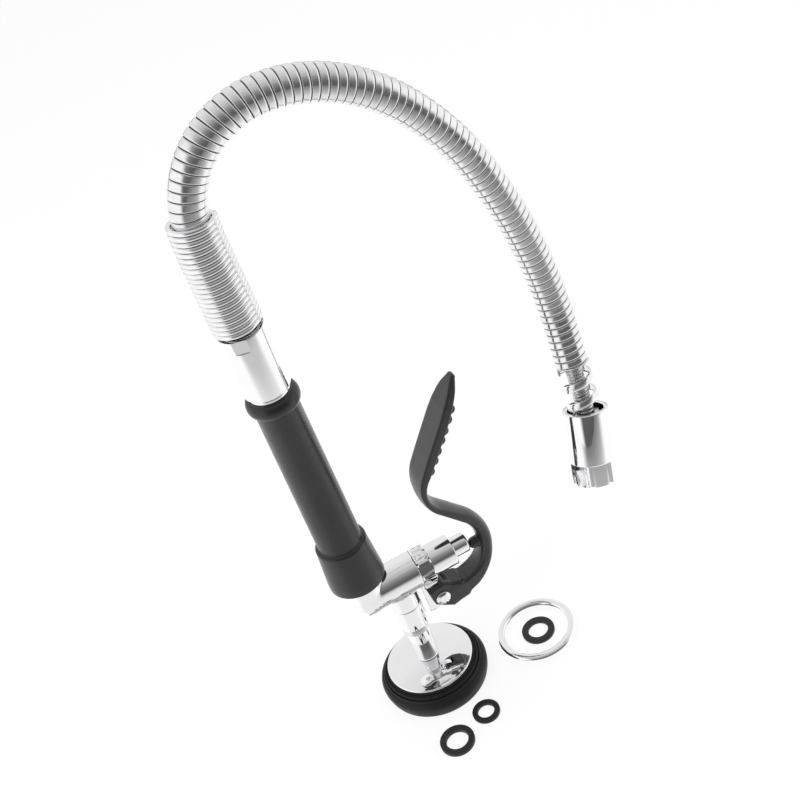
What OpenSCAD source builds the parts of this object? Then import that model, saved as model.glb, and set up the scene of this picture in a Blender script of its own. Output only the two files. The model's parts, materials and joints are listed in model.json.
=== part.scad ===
// Pre-rinse spray valve with its grip handle, strip-wound hose and loose fitting ring and washers.
// +X runs along the valve barrel away from the handle, +Z is up, and the origin is the centre of
// the rubber bumper's flat underside. The handle, the barrel and the hose lie in the plane Y = 0.

/* [Spray head] */
// Widest radius of the rubber bumper
bumper_r = 34.9; // [34:0.1:42]
// Height of the bumper's top lip above its flat underside
bumper_h = 18.4; // [17:0.1:26]
// Radius of the chrome dish at its rim
dish_r = 28; // [26:0.5:30]
// Rise of the dish from its rim to the neck
dish_crown = 5.3; // [3:0.1:8]
// Wall of the dish
dish_wall = 1.2; // [0.8:0.1:1.6]
// Thickness of the perforated spray plate
plate_t = 2; // [1.2:0.1:3]
// Radius of one spray hole
spray_hole_r = 1.1; // [0.6:0.1:1.5]
// Radius of the neck tube
neck_r = 7.5; // [6.5:0.1:8]
// Radius of the water way through the neck
neck_bore_r = 4.8; // [3.5:0.1:5.2]
// Length of bare neck tube between the dish and the union collar
neck_len = 24.5; // [15:0.5:45]
// Outer radius of the round union collar on the neck
neck_collar_r = 9.9; // [9.5:0.1:12]
// Height of the union collar with its tapered skirt
neck_collar_h = 23; // [20:0.5:30]

/* [Valve body] */
// Outer radius of the valve barrel
barrel_r = 12.15; // [11.9:0.05:14]
// Distance from the outlet to the barrel's bonnet end
barrel_reach = 14.5; // [14:0.5:18]
// Distance from the outlet to the handle axis
handle_offset = 20; // [20:0.5:28]
// Radius of the boss that takes the handle
boss_r = 12.6; // [12.4:0.1:13.7]
// Radius of the outlet boss under the barrel
outlet_r = 10; // [9.4:0.1:11]
// Height of the barrel axis above the union collar
outlet_drop = 21; // [19:0.5:28]
// Radius of the water way through the valve seat
seat_bore_r = 4.5; // [4:0.1:5]
// Radius of the valve stem
stem_r = 2.5; // [1.8:0.1:2.6]

/* [Bonnet and plunger] */
// Width across the flats of the eight-sided bonnet
bonnet_af = 24.6; // [24:0.2:28]
// Length of the bonnet's wrench flats
bonnet_hex_len = 8.1; // [6:0.1:10]
// Outer radius of the bonnet cap
cap_r = 10.1; // [10:0.05:11.5]
// Length of the bonnet cap
cap_len = 16.1; // [16:0.1:20]
// Radius of the push plunger
plunger_r = 6.5; // [5.5:0.1:6.8]
// Length of plunger that stands out of the cap
plunger_reach = 10; // [8:0.5:14]
// Travel of the plunger at a full squeeze
plunger_stroke = 4.2; // [3:0.1:5.4]
// Wire radius of the return spring
return_wire_r = 0.6; // [0.4:0.05:0.7]
// Number of turns of the return spring
return_turns = 8; // [5:1:9]

/* [Lever] */
// Distance of the lever's pin from the outlet, along the barrel
pivot_x = 22; // [21.5:0.1:23]
// Drop of the lever's pin below the barrel axis
pivot_drop = 26; // [25.5:0.1:28]
// Radius of the lever's pin
pin_r = 2.4; // [1.6:0.1:3]
// Radius of the pin's domed head
pin_head_r = 4.7; // [3.6:0.1:5.2]
// Width of the lever where it straddles the lug
lever_w = 15; // [13:0.5:18]
// Width of the lever's finger paddle
paddle_w = 20; // [16:0.5:26]
// Thickness of the lever's finger paddle
paddle_t = 5.4; // [3.6:0.1:6]
// Thickness of the lug on the valve body
lug_t = 6; // [4:0.5:7]
// Number of finger ribs
rib_count = 7; // [3:1:8]
// Spacing of the finger ribs
rib_pitch = 6.8; // [6:0.1:8]
// Radius of one finger rib
rib_r = 2.6; // [1.6:0.1:3]

/* [Handle] */
// Outer radius of the handle's metal tube
tube_r = 8; // [7:0.1:8.4]
// Bore radius of the handle's metal tube
tube_bore_r = 6; // [4.5:0.1:6.4]
// Height of the grip's lower end above the barrel axis
grip_lift = 16; // [15:0.5:20]
// Length of the rubber grip
grip_len = 149.5; // [120:0.5:180]
// Radius of the grip under its top bead
grip_top_r = 12.7; // [12:0.1:14]
// Radius of the grip above its flare
grip_low_r = 13.5; // [12.5:0.1:15]
// Radius of the flare at the grip's lower end
flare_r = 17.4; // [16.5:0.1:20]
// Height of the flare
flare_h = 32.5; // [24:0.5:44]
// Radius of the bead at the grip's top
bead_r = 15.5; // [14.5:0.1:17]
// Height of the bead
bead_h = 12; // [9:0.5:16]
// Radius of the chrome collar above the grip
collar_r = 12.15; // [11.5:0.05:12.4]

/* [Hose] */
// Outer radius of the hose ferrule
ferrule_r = 13.5; // [13:0.1:15]
// Length of the hose ferrule
ferrule_len = 41; // [38:0.5:50]
// Width across the two wrench flats of the ferrule
ferrule_af = 25.6; // [24.6:0.1:26.4]
// Length of the ferrule's wrench flats
ferrule_flat_len = 8; // [6:0.5:14]
// Outer radius of the strip-wound hose sheath
sheath_r = 10.15; // [9.6:0.05:10.4]
// Depth of the sheath's grooves
sheath_groove = 0.9; // [0.5:0.1:1.1]
// Bore radius of the sheath
sheath_bore_r = 8.2; // [7.4:0.1:8.4]
// Number of turns in the sheath
sheath_ribs = 104; // [80:1:150]
// Outer radius of the inner hose
liner_r = 5; // [4.6:0.1:6]
// Bore radius of the inner hose
liner_bore_r = 3.4; // [3:0.1:3.6]
// Length of hose on which the strip has opened out
opened_len = 26; // [16:1:34]
// Turns of opened strip
opened_turns = 2.25; // [1.5:0.25:3]
// Width of the strip
strip_w = 4.4; // [3:0.1:5.5]
// Outer radius of the spring guard at its mouth
guard_mouth_r = 13.5; // [13.2:0.1:15]
// Outer radius of the spring guard at the ferrule
guard_foot_r = 14.2; // [13.8:0.1:16]
// Wire radius of the spring guard
guard_wire_r = 1.1; // [0.9:0.05:1.15]
// Number of turns of the spring guard
guard_turns = 20; // [12:1:22]
// Pitch of the spring guard
guard_pitch = 3.5; // [3.45:0.05:4]

/* [End coupling] */
// Outer radius of the coupling
coupling_r = 13.7; // [13:0.1:16]
// Length of the coupling's round sleeve
coupling_len = 31.5; // [30:0.5:50]
// Length of the coupling's hex
coupling_hex_len = 14; // [12:0.5:20]
// Width across the flats of the coupling's hex
coupling_af = 23.9; // [23:0.1:26]
// Radius of the coupling's threaded mouth
inlet_r = 9.3; // [8.5:0.1:10]
// Depth of the coupling's threaded mouth
inlet_depth = 13; // [10:0.5:16]

/* [Loose ring and washers] */
// Centreline radius of the hold-down ring
ring_r = 23.1; // [20:0.1:28]
// Wire radius of the hold-down ring
ring_wire_r = 2.9; // [2:0.1:3.5]
// Place of the hold-down ring on the floor
ring_at = [69.1, -9.9];
// Outer radius, bore radius and thickness of the small washer
small_washer = [8.8, 5.3, 2.3];
// Place of the small washer on the floor
small_washer_at = [13.4, -46.2];
// Outer radius, bore radius and thickness of the middle washer
middle_washer = [10.7, 6.55, 2.6];
// Place of the middle washer on the floor
middle_washer_at = [70.3, -9.4];
// Outer radius, bore radius and thickness of the large washer
large_washer = [11, 7.15, 3.1];
// Place of the large washer on the floor
large_washer_at = [-11.2, -55.3];

/* [Hidden] */
$fn = 96;
eps = 0.01;

// Running clearance between pieces that are fitted into each other
fit = 0.1;
// Air left between a seated piece and its seat
seat_gap = 0.3;

// Heights of the spray head, from the floor up
lip_h = 4;
lip_in = 3;
plate_z = lip_h;
skirt_z = plate_z + plate_t + fit;
rim_z = bumper_h + 0.8;
crown_z = rim_z + dish_crown;
neck_collar_z = crown_z + neck_len;
outlet_z = neck_collar_z + neck_collar_h;
barrel_z = outlet_z + outlet_drop;

// Parts of the neck and its nut
locknut_h = 4;
gasket_t = 0.8;
neck_thread_r = neck_r - 0.8;
neck_foot_z = crown_z - dish_wall - gasket_t - locknut_h - 1.5;
web_h = 4;
port_r = 1;
face_screw_r = 1.9;
port_ring_r = (face_screw_r + neck_bore_r) / 2 + 0.4;
nut_taper_h = 6;
nut_lip_h = 6.2;
neck_flange_h = 2.4;
neck_flange_r = neck_r + 0.7;
neck_flange_z = neck_collar_z + nut_lip_h + fit;
outlet_washer_t = 1.8;
outlet_washer_z = neck_flange_z + neck_flange_h + fit;
spigot_r = neck_flange_r;
spigot_z = outlet_washer_z + outlet_washer_t + fit;
outlet_bore_r = neck_bore_r + 0.4;

// Stations along the barrel
handle_x = -handle_offset;
inlet_chamber_r = 8.3;
seat_x0 = -9.6;
seat_x1 = -5;
seat_r = 7;
spigot_x0 = 7.5;
bonnet_thread_r = 9.1;
bonnet_gasket_t = 1;
hex_x0 = barrel_reach;
hex_x1 = hex_x0 + bonnet_hex_len + 0.8;
cap_x1 = hex_x1 + cap_len;
plunger_x1 = cap_x1 + plunger_reach;
cap_end_wall = 2.5;
cap_bore_r = cap_r - 1.7;
nose_r = cap_bore_r - fit;
nose_x1 = hex_x1 + 3.6;
plunger_flange_t = 2.4;
plunger_x0 = nose_x1 + plunger_stroke + 0.9;
gland_x0 = spigot_x0 + 1.6;
spring_seat_x = gland_x0 + 4;
gland_r = stem_r + 1.9;
return_coil_r = 5.3;
spring_bore_r = return_coil_r + return_wire_r + 0.4;
disc_x1 = seat_x0 - seat_gap;
disc_t = 2.1;
disc_r = seat_bore_r + 1.9;
disc_screw_r = 1.2;

// Stations up the handle
grip_z = barrel_z + grip_lift;
boss_top_z = grip_z + 5;
socket_z = barrel_z + 9;
grip_top_z = grip_z + grip_len;
collar_z = grip_top_z - 2.6;
collar_h = 4.8;
ferrule_z = collar_z + collar_h + seat_gap;
ferrule_top_z = ferrule_z + ferrule_len;
tube_top_z = ferrule_z + 13;
ferrule_washer_t = 1.5;
barb_flange_h = 2.4;
barb_flange_z = tube_top_z + ferrule_washer_t + 2 * fit;
ferrule_step_z = barb_flange_z + barb_flange_h + fit;
ferrule_step_h = 3;
barb_r = liner_bore_r - fit;
barb_bore_r = barb_r - 1.1;
hose_pocket_r = 10.7;
liner_z0 = ferrule_step_z + ferrule_step_h + fit;
sheath_z0 = liner_z0 + 0.4;

// Lever: corners of its centreline about the pin, each with the radius of its bend
pivot = [pivot_x, barrel_z - pivot_drop];
lever_corners = [
    [9, -2.6, 0], [32, -3, 25.7], [41.9, 33.9, 31], [6.4, 76.8, 24], [54, 143.2, 0]
];
lever_reach = plunger_x1 - pivot_x;
pad_r = 3.6;
pad_drop = 4.5;
lug_eye_r = 8;
slot_gap = 0.3;
slot_r = lug_eye_r + 2;
rib_start = 0.66;
rib_h = 1.8;
pin_head_h = 1.8;
pin_nut_h = 2.6;

// Hose: route of its centreline, from inside the ferrule to the coupling's top rim
hose_foot = [handle_x, 0, ferrule_top_z];
hose_route = [
    [0, 0, -24], [0, 0, 6], [0, 0, 36], [0.3, 0, 58], [3, 0, 76], [12, 0, 92], [27, 0, 104.5], [46, 0, 110.5],
    [68, 0, 109], [90, 0, 100], [110, 0, 84.5], [127, 0, 63.5], [141, 0, 38.5], [151, 0, 10.5], [158.5, 0, -19],
    [163.5, 0, -50], [165.5, -1.6, -82.8], [164.6, -5.5, -108.6], [163.3, -9.5, -125.1], [160.7, -16.9, -146.2]
];
coupling_tilt = 13.3;
coupling_lean = 15.5;
coupling_top = hose_foot + hose_route[len(hose_route) - 1];
coupling_pocket = 12;
tail_flange_h = 2.4;
tail_body_r = 5.4;
relief_r = inlet_r - 0.4;
tail_flange_r = relief_r - 0.2;
coupling_washer_t = 2;
coupling_total = coupling_len + coupling_hex_len;
tail_barb_len = 16;

// Facets of the swept forms
coil_rings = 8;
coil_sides = 6;
hose_sides = 8;

// ---------- curves ----------

function unit(v) = v / norm(v);

// Point on a smooth curve through b and c, where a and d are the neighbours on each side
function between(a, b, c, d, t) =
    0.5 * (2 * b + (c - a) * t + (2 * a - 5 * b + 4 * c - d) * t * t + (3 * b - a - 3 * c + d) * t * t * t);

function smooth_curve(p, n) = [
    for (i = [0 : len(p) - 2], k = [0 : n - 1])
        between(p[max(i - 1, 0)], p[i], p[i + 1], p[min(i + 2, len(p) - 1)], k / n),
    p[len(p) - 1]
];

// Points round one corner b of a polyline, bent to radius r
function bend(a, b, c, r, n) =
    let (
        u = unit(a - b),
        v = unit(c - b),
        half = acos(u * v) / 2,
        centre = b + unit(u + v) * r / sin(half),
        start = b + u * r / tan(half) - centre,
        turn = (u[0] * v[1] - u[1] * v[0] > 0 ? -1 : 1) * (180 - 2 * half)
    )
    [for (k = [0 : n]) let (t = turn * k / n)
        centre + [start[0] * cos(t) - start[1] * sin(t), start[0] * sin(t) + start[1] * cos(t)]];

function flat(p) = [p[0], p[1]];

function bent_line(p, n) = [
    flat(p[0]),
    for (i = [1 : len(p) - 2]) each bend(flat(p[i - 1]), flat(p[i]), flat(p[i + 1]), p[i][2], n),
    flat(p[len(p) - 1])
];

// Running length at each point of a polyline
function lengths(p) =
    [for (i = 0, s = 0; i < len(p); s = s + norm(p[min(i + 1, len(p) - 1)] - p[i]), i = i + 1) s];

function table(s, p, axis) = [for (i = [0 : len(p) - 1]) [s[i], p[i][axis]]];

hose_end_dir =
    [-cos(coupling_lean) * sin(coupling_tilt), -sin(coupling_lean), -cos(coupling_lean) * cos(coupling_tilt)];
hose_curve = smooth_curve(
    concat([for (q = hose_route) hose_foot + q], [coupling_top + 8 * hose_end_dir, coupling_top + 20 * hose_end_dir]),
    8);
hose_s = lengths(hose_curve);
hose_tx = table(hose_s, hose_curve, 0);
hose_ty = table(hose_s, hose_curve, 1);
hose_tz = table(hose_s, hose_curve, 2);
hose_len = hose_s[len(hose_s) - 1];

function hose_at(s) = [lookup(s, hose_tx), lookup(s, hose_ty), lookup(s, hose_tz)];
function hose_dir(s) = unit(hose_at(min(s + 0.6, hose_len)) - hose_at(max(s - 0.6, 0)));
function hose_side(s) = unit(cross([0, 1, 0], hose_dir(s)));
function hose_up(s) = cross(hose_dir(s), hose_side(s));
// Direction across the hose at angle a round it
function hose_out(s, a) = cos(a) * hose_side(s) + sin(a) * hose_up(s);

// Stations along the hose, measured from the start of its route
mouth_s = 24;
sheath_s0 = sheath_z0 - (ferrule_top_z - mouth_s);
liner_s0 = liner_z0 - (ferrule_top_z - mouth_s);
rim_s = hose_len - 20;
sheath_s1 = rim_s - opened_len - 3;
liner_s1 = rim_s + coupling_pocket - fit;

lever_curve = bent_line(lever_corners, 8);
lever_s = lengths(lever_curve);
lever_tx = table(lever_s, lever_curve, 0);
lever_tz = table(lever_s, lever_curve, 1);
lever_len = lever_s[len(lever_s) - 1];

function lever_at(s) = [pivot[0] + lookup(s, lever_tx), 0, pivot[1] + lookup(s, lever_tz)];
function lever_dir(s) = unit(lever_at(min(s + 0.5, lever_len)) - lever_at(max(s - 0.5, 0)));
// Outward direction of the lever, on the side away from the grip
function lever_out(s) = let (t = lever_dir(s)) [t[2], 0, -t[0]];
// Thickness and width of the lever along its length
function lever_t(f) = lookup(f, [[0, 13], [0.06, 10], [0.13, 8.2], [0.2, 7.8], [0.29, 7.6], [0.37, 6.6],
    [0.48, 5], [0.6, paddle_t * 0.78], [0.72, paddle_t * 0.89], [0.9, paddle_t], [0.97, paddle_t * 0.8],
    [1, paddle_t * 0.4]]);
function lever_wide(f) = lookup(f, [[0, lever_w], [0.36, lever_w], [0.5, (lever_w + paddle_w) / 2],
    [0.6, paddle_w - 0.5], [0.66, paddle_w], [0.86, paddle_w], [0.905, paddle_w * 0.88],
    [0.94, paddle_w * 0.74], [0.967, paddle_w * 0.58], [0.986, paddle_w * 0.42], [1, paddle_w * 0.22]]);

// ---------- swept forms ----------

function ring(centre, u, v, r, sides) =
    [for (k = [0 : sides - 1]) let (t = 360 * k / sides) centre + r * (cos(t) * u + sin(t) * v)];

// Skin over a list of rings with equal counts: capped at both ends, or closed into a loop
module skin(rings, loop = false) {
    n = len(rings[0]);
    m = len(rings);
    spans = loop ? m : m - 1;
    sides = [
        for (i = [0 : spans - 1], k = [0 : n - 1])
            let (
                a = i * n + k,
                b = i * n + (k + 1) % n,
                c = ((i + 1) % m) * n + (k + 1) % n,
                d = ((i + 1) % m) * n + k
            )
            each [[a, b, c], [a, c, d]]
    ];
    caps = loop ? [] : [[for (k = [n - 1 : -1 : 0]) k], [for (k = [0 : n - 1]) (m - 1) * n + k]];
    polyhedron(points = [for (r = rings) each r], faces = concat(sides, caps), convexity = 10);
}

// Rounded-rectangle ring: thickness along u, width along v
function slab_ring(centre, u, v, t, w, sides) = [
    for (k = [0 : sides - 1])
        let (a = 360 * (k + 0.5) / sides, c = cos(a), s = sin(a))
        centre + u * (t / 2) * sign(c) * pow(abs(c), 0.4) + v * (w / 2) * sign(s) * pow(abs(s), 0.4)
];

// Rings of a wire wound round the hose from station s0, with radius going from r0 to r1
function coil_centre(s, a, r) = hose_at(s) + r * hose_out(s, a);
function guard_point(k) =
    let (f = k / (guard_turns * coil_rings), s = guard_s0 + f * guard_turns * guard_pitch)
    coil_centre(s, 360 * k / coil_rings, guard_foot_r + (guard_mouth_r - guard_foot_r) * f - guard_wire_r);
guard_s0 = mouth_s + guard_wire_r + seat_gap;
guard_rings = [
    for (k = [0 : guard_turns * coil_rings])
        let (
            s = guard_s0 + k * guard_pitch / coil_rings,
            a = 360 * k / coil_rings,
            out = hose_out(s, a),
            run = unit(guard_point(k + 0.2) - guard_point(k - 0.2))
        )
        ring(guard_point(k), out, cross(out, run), guard_wire_r, coil_sides)
];
guard_gap = min([
    for (k = [0 : (guard_turns - 1) * coil_rings], d = [-1 : 0.25 : 1])
        norm(guard_point(k) - guard_point(k + coil_rings + d))
]) - 2 * guard_wire_r;
echo(str("spring guard: least gap between turns ", guard_gap, " mm"));

// Return spring along the barrel axis
return_x0 = spring_seat_x + return_wire_r + seat_gap;
return_x1 = plunger_x0 - return_wire_r - seat_gap;
return_pitch = (return_x1 - return_x0) / return_turns;
function return_point(k) =
    let (a = 360 * k / coil_rings)
    [return_x0 + k * return_pitch / coil_rings, return_coil_r * cos(a), barrel_z + return_coil_r * sin(a)];
return_rings = [
    for (k = [0 : return_turns * coil_rings])
        let (
            a = 360 * k / coil_rings,
            out = [0, cos(a), sin(a)],
            run = unit(return_point(k + 0.2) - return_point(k - 0.2))
        )
        ring(return_point(k), out, cross(out, run), return_wire_r, coil_sides)
];
echo(str("return spring: least gap between turns ", return_pitch - 2 * return_wire_r, " mm"));

// Opened strip between the sheath's end and the coupling
strip_t = 1;
strip_rings_per_turn = 16;
opened_rings = [
    for (k = [0 : opened_turns * strip_rings_per_turn])
        let (
            s = sheath_s1 + strip_w / 2 + 0.4 + k * opened_len / (opened_turns * strip_rings_per_turn),
            a = 360 * k / strip_rings_per_turn,
            out = hose_out(s, a)
        )
        slab_ring(hose_at(s) + (sheath_r - strip_t) * out, out, hose_dir(s), strip_t, strip_w, coil_sides)
];
echo(str("opened strip: least gap between turns ", opened_len / opened_turns - strip_w, " mm"));

// ---------- helpers ----------

module bar_x(x0, x1, r) {
    translate([x0, 0, barrel_z])
        rotate([0, 90, 0])
            cylinder(r = r, h = x1 - x0);
}

module bar_z(x, z0, z1, r) {
    translate([x, 0, z0])
        cylinder(r = r, h = z1 - z0);
}

module ring_x(x0, x1, r, bore) {
    difference() {
        bar_x(x0, x1, r);
        bar_x(x0 - 1, x1 + 1, bore);
    }
}

module ring_z(x, z0, z1, r, bore) {
    difference() {
        bar_z(x, z0, z1, r);
        bar_z(x, z0 - 1, z1 + 1, bore);
    }
}

// Bar with wrench flats, its corners turned off to a cone at both ends
module flats_bar(flats, af, h, turn = 0, corner = 0.6) {
    r = af / 2 / cos(180 / flats);
    intersection() {
        rotate([0, 0, turn])
            cylinder(r = r, h = h, $fn = flats);
        rotate_extrude()
            polygon([[0, 0], [r - corner, 0], [r, corner * 0.7], [r, h - corner * 0.7], [r - corner, h], [0, h]]);
    }
}

module pin_y(r, y0, y1) {
    translate([pivot[0], y0, pivot[1]])
        rotate([-90, 0, 0])
            cylinder(r = r, h = y1 - y0);
}

// Places its children in the coupling's frame: origin at the top rim, -Z along the coupling
module at_coupling() {
    translate(coupling_top)
        rotate([-coupling_lean, coupling_tilt, 0])
            children();
}

// size: outer radius, bore radius and thickness
module flat_washer(at, size) {
    edge = 0.3;
    r = size[0];
    bore = size[1];
    t = size[2];
    translate(at)
        rotate_extrude()
            polygon([[bore, 0], [r - edge, 0], [r, edge], [r, t - edge], [r - edge, t], [bore, t]]);
}

// ---------- valve body and seat ----------

module lug_outline() {
    hull() {
        translate(pivot)
            circle(r = lug_eye_r, $fn = 48);
        translate([pivot[0] - 7.5, pivot[1] - 8.5])
            circle(r = 2, $fn = 24);
    }
    polygon([
        [pivot[0] - 9.5, pivot[1] - 8.5], [pivot[0] - 9.5, barrel_z - 8], [barrel_reach - fit, barrel_z - 8],
        [barrel_reach - fit, pivot[1] + 8.5], [pivot[0] + 4.9, pivot[1] + 7.4], [pivot[0] + 5.4, pivot[1] + 5.9]
    ]);
}

module boss_profile() {
    round_r = 10.5;
    foot = -barrel_r + 0.8;
    polygon([
        [0, foot],
        for (a = [-90 : 10 : 0])
            [boss_r - round_r + round_r * cos(a), foot + round_r + round_r * sin(a)],
        [boss_r, boss_top_z - barrel_z],
        [0, boss_top_z - barrel_z]
    ]);
}

module valve_body() {
    color("gainsboro")
        difference() {
            union() {
                bar_x(handle_x, barrel_reach, barrel_r);
                translate([handle_x, 0, barrel_z])
                    rotate_extrude()
                        boss_profile();
                bar_z(0, outlet_z, barrel_z, outlet_r);
                bar_z(0, spigot_z, outlet_z + 1, spigot_r);
                translate([0, lug_t / 2, 0])
                    rotate([90, 0, 0])
                        linear_extrude(lug_t)
                            lug_outline();
            }
            bar_x(handle_x - 5.5, seat_x0, inlet_chamber_r);
            bar_x(seat_x0 - 1, seat_x1 + 1, seat_r + fit);
            bar_x(seat_x1, barrel_reach + 1, bonnet_thread_r + fit);
            bar_x(barrel_reach - bonnet_gasket_t - 0.2, barrel_reach + 1, bonnet_thread_r + 2.2);
            bar_z(handle_x, barrel_z, socket_z + 1, tube_bore_r);
            bar_z(handle_x, socket_z, boss_top_z + 1, tube_r + fit);
            bar_z(0, spigot_z - 1, barrel_z, outlet_bore_r);
            pin_y(pin_r + fit, -lug_t, lug_t);
        }
}

module valve_seat() {
    color("goldenrod")
        ring_x(seat_x0, seat_x1, seat_r, seat_bore_r);
}

module seat_disc() {
    color("dimgray")
        ring_x(disc_x1 - disc_t, disc_x1, disc_r, stem_r + 0.05);
}

module disc_screw() {
    color("goldenrod")
        union() {
            bar_x(disc_x1 - disc_t - 2 - fit, disc_x1 - disc_t - fit, stem_r + 1.6);
            bar_x(disc_x1 - disc_t - fit - eps, disc_x1 + 6, disc_screw_r);
        }
}

module valve_stem() {
    color("lightgray")
        difference() {
            union() {
                bar_x(disc_x1 - disc_t, plunger_x0 + 7, stem_r);
                bar_x(disc_x1 + fit, disc_x1 + 2, stem_r + 1);
            }
            bar_x(disc_x1 - disc_t - 1, disc_x1 + 6.2, disc_screw_r + 0.05);
        }
}

module stem_packing() {
    color("dimgray")
        ring_x(gland_x0 + fit, spring_seat_x - fit, gland_r - 0.05, stem_r + 0.05);
}

// ---------- bonnet and plunger ----------

module bonnet() {
    color("gainsboro")
        difference() {
            union() {
                bar_x(spigot_x0, hex_x0 + 1, bonnet_thread_r);
                translate([hex_x0, 0, barrel_z])
                    rotate([0, 90, 0])
                        flats_bar(8, bonnet_af, hex_x1 - hex_x0, 22.5, 0.6);
                bar_x(hex_x1 - 1, nose_x1, nose_r);
            }
            bar_x(spigot_x0 - 1, nose_x1 + 1, stem_r + fit);
            bar_x(gland_x0, spring_seat_x + 1, gland_r);
            bar_x(spring_seat_x, nose_x1 + 1, spring_bore_r);
        }
}

module bonnet_gasket() {
    color("saddlebrown")
        ring_x(barrel_reach - bonnet_gasket_t - fit, barrel_reach - fit, bonnet_thread_r + 2, bonnet_thread_r + fit);
}

module bonnet_cap() {
    edge = 0.7;
    color("gainsboro")
        difference() {
            translate([hex_x1, 0, barrel_z])
                rotate([0, 90, 0])
                    rotate_extrude()
                        polygon([[0, 0], [cap_r, 0], [cap_r, cap_len - edge], [cap_r - edge, cap_len], [0, cap_len]]);
            bar_x(hex_x1 - 1, cap_x1 - cap_end_wall, cap_bore_r);
            bar_x(hex_x1, cap_x1 + 1, plunger_r + 0.15);
        }
}

module plunger() {
    edge = 1;
    long = plunger_x1 - plunger_x0;
    color("gainsboro")
        difference() {
            translate([plunger_x0, 0, barrel_z])
                rotate([0, 90, 0])
                    rotate_extrude()
                        polygon([
                            [0, 0], [cap_bore_r - 0.3, 0], [cap_bore_r - 0.3, plunger_flange_t],
                            [plunger_r, plunger_flange_t], [plunger_r, long - edge], [plunger_r - edge, long], [0, long]
                        ]);
            bar_x(plunger_x0 - 1, plunger_x0 + 7.2, stem_r + 0.05);
        }
}

module return_spring() {
    color("silver")
        skin(return_rings);
}

// ---------- neck and spray head ----------

module outlet_washer() {
    color("dimgray")
        ring_z(0, outlet_washer_z, outlet_washer_z + outlet_washer_t, spigot_r - 0.1, outlet_bore_r);
}

module neck_collar() {
    top = neck_collar_h - fit;
    color("gainsboro")
        difference() {
            translate([0, 0, neck_collar_z])
                rotate_extrude()
                    polygon([
                        [0, 0], [neck_r + 0.9, 0], [neck_collar_r, nut_taper_h], [neck_collar_r, top - 0.6],
                        [neck_collar_r - 0.6, top], [0, top]
                    ]);
            bar_z(0, neck_collar_z - 1, outlet_z, neck_r + 0.15);
            bar_z(0, neck_collar_z + nut_lip_h, outlet_z + 1, spigot_r + fit);
        }
}

module spray_neck() {
    web_z = neck_foot_z + web_h;
    color("gainsboro")
        difference() {
            union() {
                bar_z(0, crown_z, neck_flange_z + eps, neck_r);
                bar_z(0, neck_foot_z, crown_z + eps, neck_thread_r);
                bar_z(0, neck_flange_z, neck_flange_z + neck_flange_h, neck_flange_r);
            }
            bar_z(0, web_z, neck_flange_z + neck_flange_h + 1, neck_bore_r);
            bar_z(0, neck_foot_z - 1, web_z + 1, face_screw_r + 0.05);
            for (a = [0 : 60 : 300])
                rotate([0, 0, a])
                    bar_z(port_ring_r, neck_foot_z - 1, web_z + 0.5, port_r);
        }
}

module neck_locknut() {
    color("goldenrod")
        difference() {
            translate([0, 0, crown_z - dish_wall - gasket_t - locknut_h - fit])
                flats_bar(6, 2 * neck_r + 5.6, locknut_h);
            bar_z(0, 0, crown_z, neck_thread_r + fit);
        }
}

module dish_gasket() {
    z1 = crown_z - dish_wall - 0.05;
    color("dimgray")
        ring_z(0, z1 - gasket_t, z1, neck_r + 1.6, neck_thread_r + fit);
}

// Radius of the sphere that the dish's dome is cut from
dome_r = (dish_r * dish_r + dish_crown * dish_crown) / (2 * dish_crown);
function dome_z(r) = crown_z - dome_r + sqrt(dome_r * dome_r - r * r);
flat_r = neck_r + 2.2;
dome_drop = crown_z - dome_z(flat_r);

module spray_dish() {
    steps = 8;
    color("whitesmoke")
        rotate_extrude()
            polygon([
                [neck_thread_r + fit, crown_z],
                for (k = [0 : steps])
                    let (r = flat_r + (dish_r - flat_r) * k / steps)
                    [r, dome_z(r) + dome_drop * (1 - k / steps)],
                [dish_r, skirt_z],
                [dish_r - dish_wall, skirt_z],
                [dish_r - dish_wall, rim_z - dish_wall],
                for (k = [steps - 1 : -1 : 0])
                    let (r = flat_r + (dish_r - flat_r) * k / steps)
                    [r, dome_z(r) + dome_drop * (1 - k / steps) - dish_wall],
                [neck_thread_r + fit, crown_z - dish_wall]
            ]);
}

module spray_plate() {
    rows = [[8, 6], [14, 12], [20, 18]];
    color("silver")
        difference() {
            bar_z(0, plate_z, plate_z + plate_t, dish_r - fit);
            bar_z(0, plate_z - 1, plate_z + plate_t + 1, face_screw_r + fit);
            for (row = rows, k = [0 : row[1] - 1])
                rotate([0, 0, 360 * k / row[1]])
                    translate([row[0], 0, plate_z - 1])
                        cylinder(r = spray_hole_r, h = plate_t + 2, $fn = 16);
        }
}

module face_screw() {
    head_h = 1.6;
    color("silver")
        difference() {
            union() {
                bar_z(0, plate_z - head_h, plate_z, 4);
                bar_z(0, plate_z - eps, neck_foot_z + web_h - 0.5, face_screw_r);
            }
            translate([-5, -0.5, plate_z - head_h - 1])
                cube([10, 1, 1.7]);
        }
}

module bumper() {
    in_r = dish_r + fit;
    wall = bumper_r - in_r;
    // Outside of the wall from the floor up: shares of its thickness and of its height
    steps = [
        [0.42, 0], [0.26, 0.06], [0.12, 0.2], [0.03, 0.36], [0, 0.5], [0.09, 0.6], [0.235, 0.68], [0.35, 0.68], [0.43, 0.77],
        [0.53, 0.78], [0.6, 0.73], [0.63, 0.87], [0.735, 0.89], [0.825, 0.85], [0.925, 0.87], [0.94, 1], [1, 1]
    ];
    color("#26272a")
        rotate_extrude()
            polygon([
                [dish_r - lip_in, 0.6], [dish_r - lip_in + 0.6, 0],
                for (p = steps)
                    [bumper_r - wall * p[0], bumper_h * p[1]],
                [in_r, lip_h], [dish_r - lip_in, lip_h - fit]
            ]);
}

// ---------- lever ----------

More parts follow.
